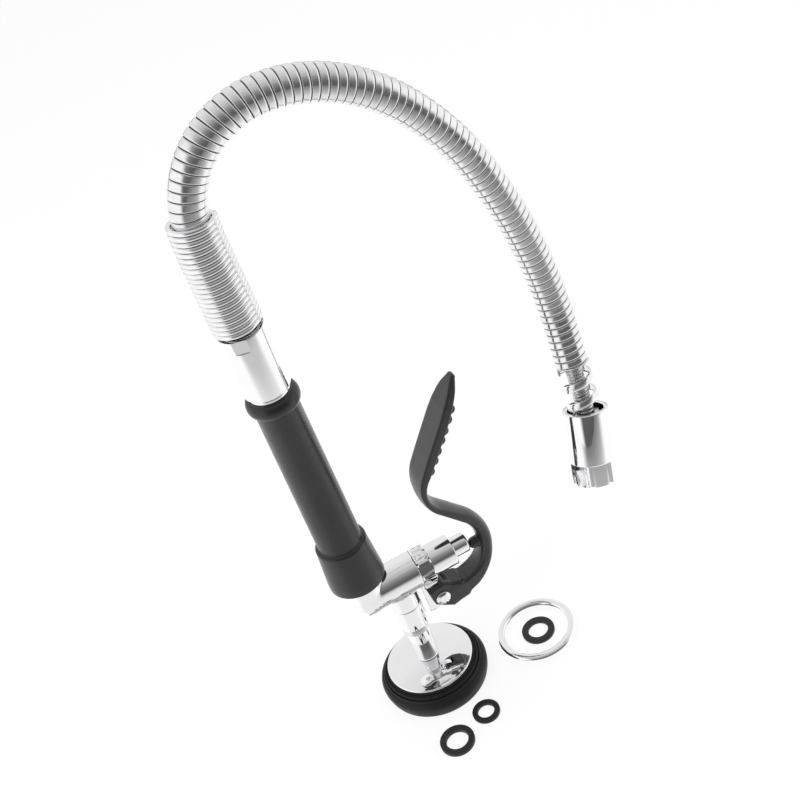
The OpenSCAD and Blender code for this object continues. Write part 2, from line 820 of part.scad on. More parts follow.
module lever_clevis() {
    translate([0, lever_w / 2 + 0.1, 0])
        rotate([90, 0, 0])
            linear_extrude(lever_w + 0.2)
                offset(r = 1.5)
                    offset(delta = -1.5)
                        polygon([for (p = [
                            [-7.3, 8.2], [3, 10.5], [8.5, 6.6], [15, 4.4], [17, -8.6], [11, -9.5], [5, -11.4],
                            [-5.5, -3.6], [-6.4, 0.7]
                        ]) pivot + p]);
}

module lever() {
    rings = 30;
    color("#3b3c3e")
        difference() {
            union() {
                skin([
                    for (k = [0 : rings])
                        let (f = k / rings, s = f * lever_len)
                        slab_ring(lever_at(s), lever_out(s), [0, -1, 0], lever_t(f), lever_wide(f), 16)
                ]);
                lever_clevis();
                translate([plunger_x1 + seat_gap + pad_r, 0, barrel_z - pad_drop])
                    sphere(r = pad_r, $fn = 48);
                translate([plunger_x1 + seat_gap + pad_r, 0, barrel_z - pad_drop])
                    rotate([0, 90, 0])
                        cylinder(r = pad_r, h = 7, $fn = 48);
                for (k = [0 : rib_count - 1])
                    let (s = rib_start * lever_len + (k + 0.5) * rib_pitch, f = s / lever_len)
                    translate(lever_at(s) + lever_out(s) * (lever_t(f) / 2 - rib_r + rib_h))
                        rotate([90, 0, 0])
                            cylinder(r = rib_r, h = lever_wide(f) - 4, center = true, $fn = 24);
            }
            pin_y(pin_r + fit, -lever_w, lever_w);
            pin_y(slot_r, -lug_t / 2 - slot_gap, lug_t / 2 + slot_gap);
            translate([pivot[0] - 20, -lug_t / 2 - slot_gap, pivot[1] - 20])
                cube([20, lug_t + 2 * slot_gap, 40]);
        }
}

module lever_pin() {
    edge_y = lever_w / 2 + 0.1 + 0.1;
    color("whitesmoke")
        union() {
            pin_y(pin_r, -edge_y - eps, edge_y + pin_nut_h - 0.4);
            translate([pivot[0], -edge_y, pivot[1]])
                rotate([90, 0, 0])
                    rotate_extrude()
                        polygon([
                            [0, 0], [pin_head_r, 0], [pin_head_r, pin_head_h * 0.35],
                            [pin_head_r * 0.8, pin_head_h * 0.8], [pin_head_r * 0.4, pin_head_h], [0, pin_head_h]
                        ]);
        }
}

module pin_nut() {
    edge_y = lever_w / 2 + 0.1 + 0.1;
    color("gainsboro")
        difference() {
            translate([pivot[0], edge_y, pivot[1]])
                rotate([-90, 0, 0])
                    flats_bar(6, 2 * pin_head_r - 1, pin_nut_h, 0, 0.4);
            pin_y(pin_r + 0.05, 0, lever_w);
        }
}

// ---------- handle ----------

module handle_tube() {
    color("silver")
        ring_z(handle_x, socket_z + 2, tube_top_z, tube_r, tube_bore_r);
}

module handle_seal() {
    color("dimgray")
        ring_z(handle_x, socket_z + fit, socket_z + 2 - fit, tube_r - 0.1, tube_bore_r + fit);
}

module grip_sleeve() {
    in_r = tube_r + fit;
    long = grip_len;
    bead_mid = long - bead_h / 2 - 0.8;
    color("#3a3b3d")
        translate([handle_x, 0, grip_z])
            rotate_extrude()
                polygon([
                    [boss_r + fit, 0], [flare_r - 0.8, 0], [flare_r, 1], [flare_r - 1.6, flare_h - 5],
                    for (a = [0 : 15 : 90])
                        [flare_r - 4.4 + 2.6 * cos(a), flare_h - 3 + 2.6 * sin(a)],
                    [grip_low_r, flare_h + 0.4], [grip_top_r, bead_mid - bead_h / 2],
                    for (a = [-75 : 15 : 75])
                        [grip_top_r - 0.3 + (bead_r - grip_top_r + 0.3) * cos(a), bead_mid + bead_h / 2 * sin(a)],
                    [collar_r + 0.5, long], [collar_r + fit, long], [collar_r + fit, long - 2.7],
                    [in_r, long - 2.7], [in_r, boss_top_z - grip_z + fit], [boss_r + fit, boss_top_z - grip_z + fit]
                ]);
}

module handle_collar() {
    edge = 0.6;
    color("whitesmoke")
        translate([handle_x, 0, collar_z])
            rotate_extrude()
                polygon([
                    [tube_r + 0.05, 0], [collar_r, 0], [collar_r, collar_h - edge], [collar_r - edge, collar_h],
                    [tube_r + 0.05, collar_h]
                ]);
}

module hose_ferrule() {
    edge = 0.8;
    color("whitesmoke")
        difference() {
            translate([handle_x, 0, ferrule_z])
                rotate_extrude()
                    polygon([
                        [0, 0], [ferrule_r - edge, 0], [ferrule_r, edge], [ferrule_r, ferrule_len], [0, ferrule_len]
                    ]);
            for (turn = [0, 180])
                translate([handle_x, 0, ferrule_top_z])
                    rotate([0, 0, turn - 21])
                        translate([-ferrule_r, ferrule_af / 2, -ferrule_flat_len])
                            cube([2 * ferrule_r, ferrule_r, ferrule_flat_len + 1]);
            bar_z(handle_x, ferrule_z - 1, ferrule_step_z, tube_r + 0.05);
            bar_z(handle_x, ferrule_z, ferrule_top_z, barb_r + fit);
            bar_z(handle_x, ferrule_step_z + ferrule_step_h, ferrule_top_z + 1, hose_pocket_r);
        }
}

module ferrule_washer() {
    color("dimgray")
        ring_z(handle_x, tube_top_z + fit, tube_top_z + fit + ferrule_washer_t, tube_r - 0.1, barb_bore_r + 0.5);
}

// ---------- hose ----------

module hose_barb() {
    top = liner_z0 + 17;
    color("goldenrod")
        difference() {
            union() {
                bar_z(handle_x, barb_flange_z, barb_flange_z + barb_flange_h, tube_r - 0.1);
                bar_z(handle_x, barb_flange_z + eps, top, barb_r);
            }
            bar_z(handle_x, barb_flange_z - 1, top + 1, barb_bore_r);
        }
}

module spring_guard() {
    color("silver")
        skin(guard_rings);
}

function hose_ring(s, r) = ring(hose_at(s), hose_up(s), hose_side(s), r, hose_sides);

module hose_sheath() {
    pitch = (sheath_s1 - sheath_s0) / sheath_ribs;
    bore_steps = 44;
    color("silver")
        skin([
            for (k = [0 : sheath_ribs - 1])
                each [
                    hose_ring(sheath_s0 + k * pitch, sheath_r - sheath_groove),
                    hose_ring(sheath_s0 + (k + 0.5) * pitch, sheath_r)
                ],
            hose_ring(sheath_s1, sheath_r - sheath_groove),
            for (k = [bore_steps : -1 : 0])
                hose_ring(sheath_s0 + k * (sheath_s1 - sheath_s0) / bore_steps, sheath_bore_r)
        ], loop = true);
}

module sheath_tail() {
    color("silver")
        skin(opened_rings);
}

module hose_liner() {
    steps = 44;
    color("#2c2d2f")
        skin([
            for (k = [0 : steps])
                hose_ring(liner_s0 + k * (liner_s1 - liner_s0) / steps, liner_r),
            for (k = [steps : -1 : 0])
                hose_ring(liner_s0 + k * (liner_s1 - liner_s0) / steps, liner_bore_r * 1.06)
        ], loop = true);
}

// ---------- end coupling ----------

// Depths below the coupling's top rim
inlet_d = coupling_total - inlet_depth;
washer_d = inlet_d - coupling_washer_t - fit;
flange_d = washer_d - tail_flange_h - fit;
step_d = flange_d - fit;

module hose_tail() {
    color("goldenrod")
        at_coupling()
            difference() {
                union() {
                    translate([0, 0, -coupling_pocket + tail_barb_len * 0.5])
                        mirror([0, 0, 1])
                            cylinder(r = barb_r, h = tail_barb_len * 0.5 + 1);
                    translate([0, 0, -flange_d - 1])
                        cylinder(r = tail_body_r, h = flange_d + 1 - coupling_pocket - fit);
                    translate([0, 0, -flange_d - tail_flange_h])
                        cylinder(r = tail_flange_r, h = tail_flange_h);
                }
                translate([0, 0, -coupling_total])
                    cylinder(r = barb_bore_r, h = 2 * coupling_total);
            }
}

module end_coupling() {
    chamfer = 1.2;
    hex_r = coupling_af / sqrt(3);
    color("whitesmoke")
        at_coupling()
            difference() {
                union() {
                    translate([0, 0, -coupling_len])
                        rotate_extrude()
                            polygon([
                                [0, 0], [coupling_r - 0.5, 0], [coupling_r, 0.5], [coupling_r, coupling_len - 0.6],
                                [coupling_r - 0.6, coupling_len], [0, coupling_len]
                            ]);
                    intersection() {
                        translate([0, 0, -coupling_total])
                            rotate([0, 0, 21.5])
                                cylinder(r = hex_r, h = coupling_hex_len + 1, $fn = 6);
                        translate([0, 0, -coupling_total])
                            rotate_extrude()
                                polygon([
                                    [0, 0], [hex_r - chamfer - 0.4, 0], [hex_r, chamfer],
                                    [hex_r, coupling_hex_len + 2], [0, coupling_hex_len + 2]
                                ]);
                    }
                }
                translate([0, 0, -coupling_pocket])
                    cylinder(r = hose_pocket_r, h = coupling_pocket + 1);
                translate([0, 0, -step_d - 1])
                    cylinder(r = tail_body_r + 0.2, h = step_d);
                translate([0, 0, -inlet_d - 1])
                    cylinder(r = relief_r, h = inlet_d - step_d + 1);
                translate([0, 0, -coupling_total - 1])
                    cylinder(r = inlet_r, h = inlet_depth + 1);
            }
}

module coupling_washer() {
    color("dimgray")
        at_coupling()
            translate([0, 0, -washer_d - coupling_washer_t])
                difference() {
                    cylinder(r = relief_r - fit, h = coupling_washer_t);
                    translate([0, 0, -1])
                        cylinder(r = barb_bore_r + 2, h = coupling_washer_t + 2);
                }
}

// ---------- loose pieces ----------

module hold_down_ring() {
    color("whitesmoke")
        translate([ring_at[0], ring_at[1], ring_wire_r])
            rotate_extrude()
                translate([ring_r, 0])
                    circle(r = ring_wire_r, $fn = 32);
}

module washer_small() {
    color("#222222")
        flat_washer(small_washer_at, small_washer);
}

module washer_middle() {
    color("#222222")
        flat_washer(middle_washer_at, middle_washer);
}

module washer_large() {
    color("#222222")
        flat_washer(large_washer_at, large_washer);
}

valve_body();
valve_seat();
seat_disc();
disc_screw();
valve_stem();
stem_packing();
bonnet();
bonnet_gasket();
bonnet_cap();
plunger();
return_spring();
outlet_washer();
neck_collar();
spray_neck();
neck_locknut();
dish_gasket();
spray_dish();
spray_plate();
face_screw();
bumper();
lever();
lever_pin();
pin_nut();
handle_tube();
handle_seal();
grip_sleeve();
handle_collar();
hose_ferrule();
ferrule_washer();
hose_barb();
spring_guard();
hose_sheath();
sheath_tail();
hose_liner();
hose_tail();
end_coupling();
coupling_washer();
hold_down_ring();
washer_small();
washer_middle();
washer_large();
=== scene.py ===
"""Looks of a pre-rinse spray valve with its hose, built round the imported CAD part."""
import json
import math

import bmesh
import bpy
import numpy as np
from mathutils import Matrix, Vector


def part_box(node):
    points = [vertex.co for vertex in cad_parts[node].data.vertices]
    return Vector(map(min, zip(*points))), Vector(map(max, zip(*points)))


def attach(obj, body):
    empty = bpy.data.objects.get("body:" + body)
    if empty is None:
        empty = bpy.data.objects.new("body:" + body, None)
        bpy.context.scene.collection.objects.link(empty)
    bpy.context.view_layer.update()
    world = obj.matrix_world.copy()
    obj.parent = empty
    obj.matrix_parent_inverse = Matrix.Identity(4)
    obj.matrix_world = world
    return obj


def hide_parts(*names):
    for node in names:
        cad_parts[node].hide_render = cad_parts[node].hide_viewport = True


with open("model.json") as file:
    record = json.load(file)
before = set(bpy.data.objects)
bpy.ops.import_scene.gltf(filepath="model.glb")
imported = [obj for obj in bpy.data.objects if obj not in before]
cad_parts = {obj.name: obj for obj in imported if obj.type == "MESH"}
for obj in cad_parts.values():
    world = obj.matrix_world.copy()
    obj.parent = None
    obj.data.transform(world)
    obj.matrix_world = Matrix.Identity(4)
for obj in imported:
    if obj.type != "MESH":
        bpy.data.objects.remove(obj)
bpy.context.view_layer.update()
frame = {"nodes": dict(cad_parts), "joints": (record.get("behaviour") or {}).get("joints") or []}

# ---------------------------------------------------------------- sizes, in millimetres unless a name says otherwise
MM = 0.001
X, Y, Z = Vector((1, 0, 0)), Vector((0, 1, 0)), Vector((0, 0, 1))
ENDLESS = 1e9


def low(node, axis):
    """Lowest coordinate of a CAD node along an axis."""
    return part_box(node)[0][axis] / MM


def high(node, axis):
    """Highest coordinate of a CAD node along an axis."""
    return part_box(node)[1][axis] / MM


def mid(node, axis):
    """Middle of a CAD node's box along an axis."""
    return (low(node, axis) + high(node, axis)) / 2


def joint(name):
    """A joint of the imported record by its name."""
    return next(j for j in frame["joints"] if j["name"] == name)


def add_object(name, data):
    """A new object in the scene with the given mesh, camera or lamp data."""
    added = bpy.data.objects.new(name, data)
    bpy.context.collection.objects.link(added)
    return added


handle_x = mid("handle_collar", 0)
barrel_z = mid("bonnet_cap", 2)
pivot = Vector(joint("lever_hinge")["pos_m"]) / MM
coupling_top = Vector(joint("coupling_swivel")["pos_m"]) / MM
coupling_up = Vector(joint("coupling_swivel")["axis"])
ferrule_top = Vector((handle_x, 0, high("hose_ferrule", 2)))
dish_r = high("spray_dish", 0)
crown_z = high("spray_dish", 2)
bumper_r = high("bumper", 0)
bumper_h = high("bumper", 2)

# ---------------------------------------------------------------- camera
CAMERA_AT = (-67.7, -633.1, 697.05)
CAMERA_AZIMUTH, CAMERA_DROP, CAMERA_ROLL = math.radians(10), math.radians(37.05), math.radians(-21.83)
LENS, SENSOR = 64.86, 36.0


def add_camera():
    """The photograph's viewpoint: looking along +Y turned by the azimuth, down by the drop, rolled on its axis."""
    sin_a, cos_a = math.sin(-CAMERA_AZIMUTH), math.cos(-CAMERA_AZIMUTH)

    def turned_about_z(v):
        return Vector((cos_a * v.x - sin_a * v.y, sin_a * v.x + cos_a * v.y, v.z))

    ahead = turned_about_z(Vector((0, math.cos(CAMERA_DROP), -math.sin(CAMERA_DROP))))
    level = turned_about_z(X)
    upright = level.cross(ahead)
    right = math.cos(CAMERA_ROLL) * level + math.sin(CAMERA_ROLL) * upright
    up = math.cos(CAMERA_ROLL) * upright - math.sin(CAMERA_ROLL) * level
    data = bpy.data.cameras.new("camera")
    data.lens = LENS
    data.sensor_width = SENSOR
    data.clip_end = 20
    camera = add_object("camera", data)
    for row in range(3):
        for column, axis in enumerate((right, up, -ahead)):
            camera.matrix_world[row][column] = axis[row]
        camera.matrix_world[row][3] = CAMERA_AT[row] * MM
    bpy.context.scene.camera = camera


add_camera()


# ---------------------------------------------------------------- materials
# Places of a Mix node's colour sockets, which share their names with its other sockets
MIX_FACTOR, MIX_FIRST, MIX_SECOND, MIX_RESULT = 0, 6, 7, 2
CHROME_TINT = (0.9, 0.9, 0.91)
# Painted shade for the hose strip's grooves: its dark colour, and the shade values where it starts and where it is full
GROOVE_PAINTED_SHADE = (0.08, 0.08, 0.085)
SHADE_STARTS, SHADE_FULL = 0.5, 0.95


def material(name, color, metallic=0.0, roughness=0.5):
    """A Principled material and the handles that its details are wired to."""
    made = bpy.data.materials.new(name)
    made.use_nodes = True
    shader = made.node_tree.nodes["Principled BSDF"]
    shader.inputs["Base Color"].default_value = (*color, 1)
    shader.inputs["Metallic"].default_value = metallic
    shader.inputs["Roughness"].default_value = roughness
    return made, made.node_tree, shader


def noise(tree, scale, detail=3.0, offset=(0, 0, 0)):
    """Noise over the object's own coordinates; scale counts bumps per metre."""
    coords = tree.nodes.new("ShaderNodeTexCoord")
    mapping = tree.nodes.new("ShaderNodeMapping")
    mapping.inputs["Location"].default_value = offset
    texture = tree.nodes.new("ShaderNodeTexNoise")
    texture.inputs["Scale"].default_value = scale
    texture.inputs["Detail"].default_value = detail
    tree.links.new(coords.outputs["Object"], mapping.inputs["Vector"])
    tree.links.new(mapping.outputs["Vector"], texture.inputs["Vector"])
    return texture.outputs["Fac"]


def spread_to(tree, source, lowest, highest, start=0.3, end=0.7):
    """A value that runs from lowest to highest while the source runs from start to end."""
    span = tree.nodes.new("ShaderNodeMapRange")
    span.inputs["From Min"].default_value = start
    span.inputs["From Max"].default_value = end
    span.inputs["To Min"].default_value = lowest
    span.inputs["To Max"].default_value = highest
    tree.links.new(source, span.inputs["Value"])
    return span.outputs["Result"]


def blend_colors(tree, source, first, second):
    """A colour that runs from first to second with the source."""
    ramp = tree.nodes.new("ShaderNodeValToRGB")
    ramp.color_ramp.elements[0].position = 0.3
    ramp.color_ramp.elements[1].position = 0.7
    ramp.color_ramp.elements[0].color = (*first, 1)
    ramp.color_ramp.elements[1].color = (*second, 1)
    tree.links.new(source, ramp.inputs["Fac"])
    return ramp.outputs["Color"]


def mix_colors(tree, factor, first, second):
    """A colour from first to second, each a socket or a fixed colour, by a factor socket."""
    node = tree.nodes.new("ShaderNodeMix")
    node.data_type = "RGBA"
    tree.links.new(factor, node.inputs[MIX_FACTOR])
    for place, color in ((MIX_FIRST, first), (MIX_SECOND, second)):
        if isinstance(color, bpy.types.NodeSocket):
            tree.links.new(color, node.inputs[place])
        else:
            node.inputs[place].default_value = (*color, 1)
    return node.outputs[MIX_RESULT]


def bump(tree, shader, source, distance_mm):
    """Relief of a real depth on the shader's normal."""
    node = tree.nodes.new("ShaderNodeBump")
    node.inputs["Strength"].default_value = 1
    node.inputs["Distance"].default_value = distance_mm * MM
    tree.links.new(source, node.inputs["Height"])
    tree.links.new(node.outputs["Normal"], shader.inputs["Normal"])


def chrome(name, roughness=0.045, wave_mm=0.02):
    """Polished chrome: faint waves of the polish and patches where it is duller."""
    made, tree, shader = material(name, CHROME_TINT, metallic=1.0, roughness=roughness)
    tree.links.new(
        spread_to(tree, noise(tree, 90), roughness * 0.7, roughness * 1.9), shader.inputs["Roughness"]
    )
    tree.links.new(
        blend_colors(tree, noise(tree, 45, offset=(3, 1, 2)), [c * 0.96 for c in CHROME_TINT], CHROME_TINT),
        shader.inputs["Base Color"],
    )
    bump(tree, shader, noise(tree, 110, detail=1.0), wave_mm)
    return made


def drawn_steel(name, tint, roughness):
    """Bright stainless wire or strip with fine drawing marks, and painted shade, dull and dark, where a mesh's shade
    value is high.
    """
    made, tree, shader = material(name, tint, metallic=1.0, roughness=roughness)
    shader.inputs["Specular IOR Level"].default_value = 0
    tree.links.new(spread_to(tree, noise(tree, 700), roughness * 0.7, roughness * 1.6), shader.inputs["Roughness"])
    # Painted shade: a high shade value turns the colour dark and the metal dull, in place of the shadow inside the
    # grooves
    shade = tree.nodes.new("ShaderNodeAttribute")
    shade.attribute_name = "shade"
    painted_shade_share = spread_to(tree, shade.outputs["Fac"], 0, 1, SHADE_STARTS, SHADE_FULL)
    metal_outside_painted_shade = spread_to(tree, shade.outputs["Fac"], 1, 0, SHADE_STARTS, SHADE_FULL)
    tree.links.new(metal_outside_painted_shade, shader.inputs["Metallic"])
    marked = blend_colors(tree, noise(tree, 160), [c * 0.9 for c in tint], tint)
    tree.links.new(mix_colors(tree, painted_shade_share, marked, GROOVE_PAINTED_SHADE), shader.inputs["Base Color"])
    bump(tree, shader, noise(tree, 900), 0.01)
    return made


def moulded(name, tint, roughness, grain_mm, grain_scale, specular=0.5):
    """Moulded rubber or plastic: fine grain, uneven sheen and slightly mottled colour."""
    made, tree, shader = material(name, tint, roughness=roughness)
    shader.inputs["Specular IOR Level"].default_value = specular
    tree.links.new(
        spread_to(tree, noise(tree, 140, detail=6), roughness * 0.85, roughness * 1.15), shader.inputs["Roughness"]
    )
    tree.links.new(
        blend_colors(tree, noise(tree, 60, detail=5), [c * 0.86 for c in tint], [c * 1.12 for c in tint]),
        shader.inputs["Base Color"],
    )
    bump(tree, shader, noise(tree, grain_scale, detail=4), grain_mm)
    return made


def turned_metal(name, tint):
    """Bare turned metal for the working parts inside."""
    made, tree, shader = material(name, tint, metallic=1.0, roughness=0.3)
    tree.links.new(spread_to(tree, noise(tree, 400), 0.2, 0.42), shader.inputs["Roughness"])
    tree.links.new(
        blend_colors(tree, noise(tree, 120), [c * 0.85 for c in tint], tint), shader.inputs["Base Color"]
    )
    return made


CHROME = chrome("valve chrome")
DISH_CHROME = chrome("dish chrome", roughness=0.03, wave_mm=0.008)
FITTING_CHROME = chrome("fitting chrome", roughness=0.05)
RING_CHROME = chrome("ring chrome", roughness=0.05)
HOSE_STEEL = drawn_steel("hose strip", (0.86, 0.86, 0.87), 0.15)
SPRING_STEEL = drawn_steel("spring wire", (0.88, 0.88, 0.89), 0.13)
INNER_STEEL = turned_metal("inner steel", (0.6, 0.6, 0.61))
BRASS = turned_metal("bare brass", (0.72, 0.56, 0.28))
LEVER_BLACK = moulded("lever coat", (0.014, 0.0145, 0.0155), 0.32, 0.012, 2600)
GRIP_RUBBER = moulded("grip rubber", (0.011, 0.0113, 0.012), 0.3, 0.015, 2200, specular=0.45)
BUMPER_RUBBER = moulded("bumper rubber", (0.009, 0.009, 0.01), 0.5, 0.03, 1500, specular=0.25)
SEAL_RUBBER = moulded("seal rubber", (0.012, 0.012, 0.013), 0.42, 0.02, 1800, specular=0.35)
FIBRE = moulded("packing fibre", (0.62, 0.56, 0.44), 0.8, 0.05, 900)
LINER = drawn_steel("liner braid", (0.62, 0.62, 0.63), 0.3)


# ---------------------------------------------------------------- mesh helpers
def new_piece(name, points, faces, made, sharp_deg=32, shade=()):
    """A mesh object from points in millimetres, smooth but for edges sharper than sharp_deg."""
    data = bpy.data.meshes.new(name)
    data.from_pydata([tuple(c * MM for c in p) for p in points], [], faces)
    mesh = bmesh.new()
    mesh.from_mesh(data)
    # Shade values per point, which a material reads as painted shade
    if shade:
        layer = mesh.verts.layers.float.new("shade")
        for corner, value in zip(mesh.verts, shade):
            corner[layer] = value
    bmesh.ops.remove_doubles(mesh, verts=mesh.verts, dist=1e-7)
    bmesh.ops.dissolve_degenerate(mesh, edges=mesh.edges, dist=1e-8)
    bmesh.ops.recalc_face_normals(mesh, faces=mesh.faces)
    mesh.to_mesh(data)
    mesh.free()
    data.polygons.foreach_set("use_smooth", [True] * len(data.polygons))
    data.set_sharp_from_angle(angle=math.radians(sharp_deg))
    data.materials.append(made)
    return add_object(name, data)


def stand_for(piece, node, body="body"):
    """The piece is shown in place of a CAD node, which is hidden, and goes on the named body."""
    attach(piece, body)
    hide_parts(node)
    return piece


def rounded(corners, steps=5):
    """A closed outline from (r, h) or (r, h, fillet) corners."""
    outline = []
    for i, corner in enumerate(corners):
        b = Vector(corner[:2])
        if len(corner) < 3:
            outline.append(tuple(b))
            continue
        before, after = Vector(corners[i - 1][:2]), Vector(corners[(i + 1) % len(corners)][:2])
        u, v = (before - b).normalized(), (after - b).normalized()
        half = u.angle(v) / 2
        cut = min(corner[2] / math.tan(half), 0.48 * (before - b).length, 0.48 * (after - b).length)
        centre = b + (u + v).normalized() * (cut / math.cos(half))
        start, end = b + u * cut - centre, b + v * cut - centre
        for k in range(steps + 1):
            t = k / steps
            arm = start * (1 - t) + end * t
            outline.append(tuple(centre + arm.normalized() * start.length))
    return outline


def no_flats(angle):
    """No limit on the radius at any angle."""
    return ENDLESS


def flats(count, across, turn_deg=0.0):
    """Limit on the radius, by angle, that leaves wrench flats."""
    step = 2 * math.pi / count

    def limit(angle):
        off = (angle - math.radians(turn_deg)) % step - step / 2
        return across / 2 / math.cos(off)

    return limit


def turned(
    name, outline, made, at, along=Z, side=X, segments=144, limit=no_flats, limit_h=(-ENDLESS, ENDLESS), sharp_deg=32
):
    """A turned piece: a closed (r, h) outline swept round the axis through a point, with flats between two heights."""
    across = along.cross(side)
    points = []
    for k in range(segments):
        angle = 2 * math.pi * k / segments
        ray = math.cos(angle) * side + math.sin(angle) * across
        for r, h in outline:
            radius = min(r, limit(angle)) if limit_h[0] <= h <= limit_h[1] else r
            points.append(at + radius * ray + h * along)
    n = len(outline)
    faces = []
    for k in range(segments):
        a, b = k * n, (k + 1) % segments * n
        for i in range(n):
            j = (i + 1) % n
            if outline[i][0] < 1e-9 and outline[j][0] < 1e-9:
                continue
            faces.append((a + i, b + i, b + j, a + j))
    return new_piece(name, points, faces, made, sharp_deg)


def tube_between(name, rings, made, closed_ends=True):
    """A skin over rings of equal counts."""
    n = len(rings[0])
    faces = [
        (i * n + k, i * n + (k + 1) % n, (i + 1) * n + (k + 1) % n, (i + 1) * n + k)
        for i in range(len(rings) - 1)
        for k in range(n)
    ]
    if closed_ends:
        faces.append(tuple(range(n - 1, -1, -1)))
        faces.append(tuple((len(rings) - 1) * n + k for k in range(n)))
    return new_piece(name, [p for ring in rings for p in ring], faces, made, sharp_deg=40)


# ---------------------------------------------------------------- hose route
HOSE_ROUTE = [
    (0, 0, -24), (0, 0, 6), (0, 0, 36), (0.3, 0, 58), (3, 0, 76), (12, 0, 92), (27, 0, 104.5), (46, 0, 110.5),
    (68, 0, 109), (90, 0, 100), (110, 0, 84.5), (127, 0, 63.5), (141, 0, 38.5), (151, 0, 10.5), (158.5, 0, -19),
    (163.5, 0, -50), (165.5, -1.6, -82.8), (164.6, -5.5, -108.6), (163.3, -9.5, -125.1), (160.7, -16.9, -146.2),
]
ROUTE_STEPS = 8
INSIDE_FERRULE, INSIDE_COUPLING = 24.0, 20


def between(a, b, c, d, t):
    """Point on a smooth curve through b and c."""
    return 0.5 * (
        2 * b + (c - a) * t + (2 * a - 5 * b + 4 * c - d) * t * t + (3 * b - a - 3 * c + d) * t * t * t
    )


def smooth_curve(points):
    """The route's points joined by one smooth curve."""
    line = []
    for i in range(len(points) - 1):
        a, d = points[max(i - 1, 0)], points[min(i + 2, len(points) - 1)]
        line += [between(a, points[i], points[i + 1], d, k / ROUTE_STEPS) for k in range(ROUTE_STEPS)]
    return line + [points[-1]]


class Path:
    """A smooth line that gives the point, direction and side vectors at a running length."""

    def __init__(self, line):
        self.line = line
        self.at_length = [0.0]
        for a, b in zip(line, line[1:]):
            self.at_length.append(self.at_length[-1] + (b - a).length)
        self.length = self.at_length[-1]
        self.last = 0

    def point(self, s):
        s = min(max(s, 0.0), self.length)
        i = self.last
        while i > 0 and self.at_length[i] > s:
            i -= 1
        while i < len(self.line) - 2 and self.at_length[i + 1] < s:
            i += 1
        self.last = i
        gap = self.at_length[i + 1] - self.at_length[i]
        return self.line[i].lerp(self.line[i + 1], (s - self.at_length[i]) / gap)

    def ahead(self, s, step=1.2):
        return (self.point(min(s + step, self.length)) - self.point(max(s - step, 0))).normalized()

    def side(self, s):
        return Y.cross(self.ahead(s)).normalized()

    def out(self, s, angle):
        """Direction across the line, at an angle round it."""
        side = self.side(s)
        return math.cos(angle) * side + math.sin(angle) * self.ahead(s).cross(side)


hose = Path(
    smooth_curve(
        [ferrule_top + Vector(place) for place in HOSE_ROUTE]
        + [coupling_top - 8 * coupling_up, coupling_top - INSIDE_COUPLING * coupling_up]
    )
)
rim_s = hose.length - INSIDE_COUPLING


def round_hose(s, angle, radius):
    """Point at an angle round the hose's line, as far out as the radius."""
    return hose.point(s) + radius * hose.out(s, angle)


# ---------------------------------------------------------------- strip-wound hose, the free cord
SHEATH_TURNS = 96
SHEATH_R, SHEATH_GROOVE = 10.13, 0.9
SHEATH_STEPS = 48
SHEATH_WALL = 0.45
OPENED_LENGTH, OPENED_TURNS, OPENED_STEPS = 26, 2.25, 40
STRIP_WIDTH, STRIP_T = 4.4, 0.8
LINER_ABOVE_TUBE, LINER_PAST_RIM = 7.3, 11.9
liner_s0 = high("handle_tube", 2) + LINER_ABOVE_TUBE - (ferrule_top.z - INSIDE_FERRULE)
sheath_s0 = liner_s0 + 0.4
sheath_s1 = rim_s - OPENED_LENGTH - 3
# One rib of the strip: share of its pitch, and how far it lies under the crown as a share of the groove
RIB = [
    (0, 1), (0.05, 0.96), (0.06, 0.6), (0.085, 0.3), (0.12, 0.12), (0.17, 0.03), (0.23, 0.0), (0.36, 0.0), (0.52, 0.01),
    (0.66, 0.04), (0.76, 0.1), (0.84, 0.2), (0.9, 0.36), (0.93, 0.6), (0.94, 0.94),
]
SLOPE_RISING, SLOPE_FALLING = 0.08, 0.2


def add_sheath():
    """Interlocked strip wound into a ribbed hose: one rib profile run along a helix."""
    pitch = (sheath_s1 - sheath_s0) / SHEATH_TURNS
    steps = SHEATH_TURNS * SHEATH_STEPS
    points, groove_painted_shade = [], []
    for k in range(steps + 1):
        angle = 2 * math.pi * k / SHEATH_STEPS
        # Each turn is drawn a little conical, its edge tucked under the turn above it
        upright = hose.ahead(sheath_s0 + k / SHEATH_STEPS * pitch, 12).z
        for share, depth in RIB:
            s = min(sheath_s0 + (k / SHEATH_STEPS + share) * pitch, sheath_s1)
            tucked = pitch * (SLOPE_RISING * max(upright, 0) * share - SLOPE_FALLING * min(upright, 0) * (1 - share))
            points.append(round_hose(s, angle, SHEATH_R - max(SHEATH_GROOVE * depth, tucked)))
            # Painted shade: each groove by its depth, and the start of a band that the turn above hides under its edge
            groove_painted_shade.append(max(depth, (tucked / SHEATH_GROOVE) ** 2))
    n = len(RIB)
    faces = []
    for k in range(steps):
        a, b = k * n, (k + 1) * n
        faces += [(a + j, a + j + 1, b + j + 1, b + j) for j in range(n - 1)]
        if k + SHEATH_STEPS < steps:
            c, d = (k + SHEATH_STEPS) * n, (k + 1 + SHEATH_STEPS) * n
            faces.append((a + n - 1, c, d, b + n - 1))
    piece = new_piece("hose_skin", points, faces, HOSE_STEEL, sharp_deg=80, shade=groove_painted_shade)
    solid = piece.modifiers.new("strip thickness", "SOLIDIFY")
    solid.thickness = SHEATH_WALL * MM
    solid.offset = -1
    return stand_for(piece, "hose_sheath")


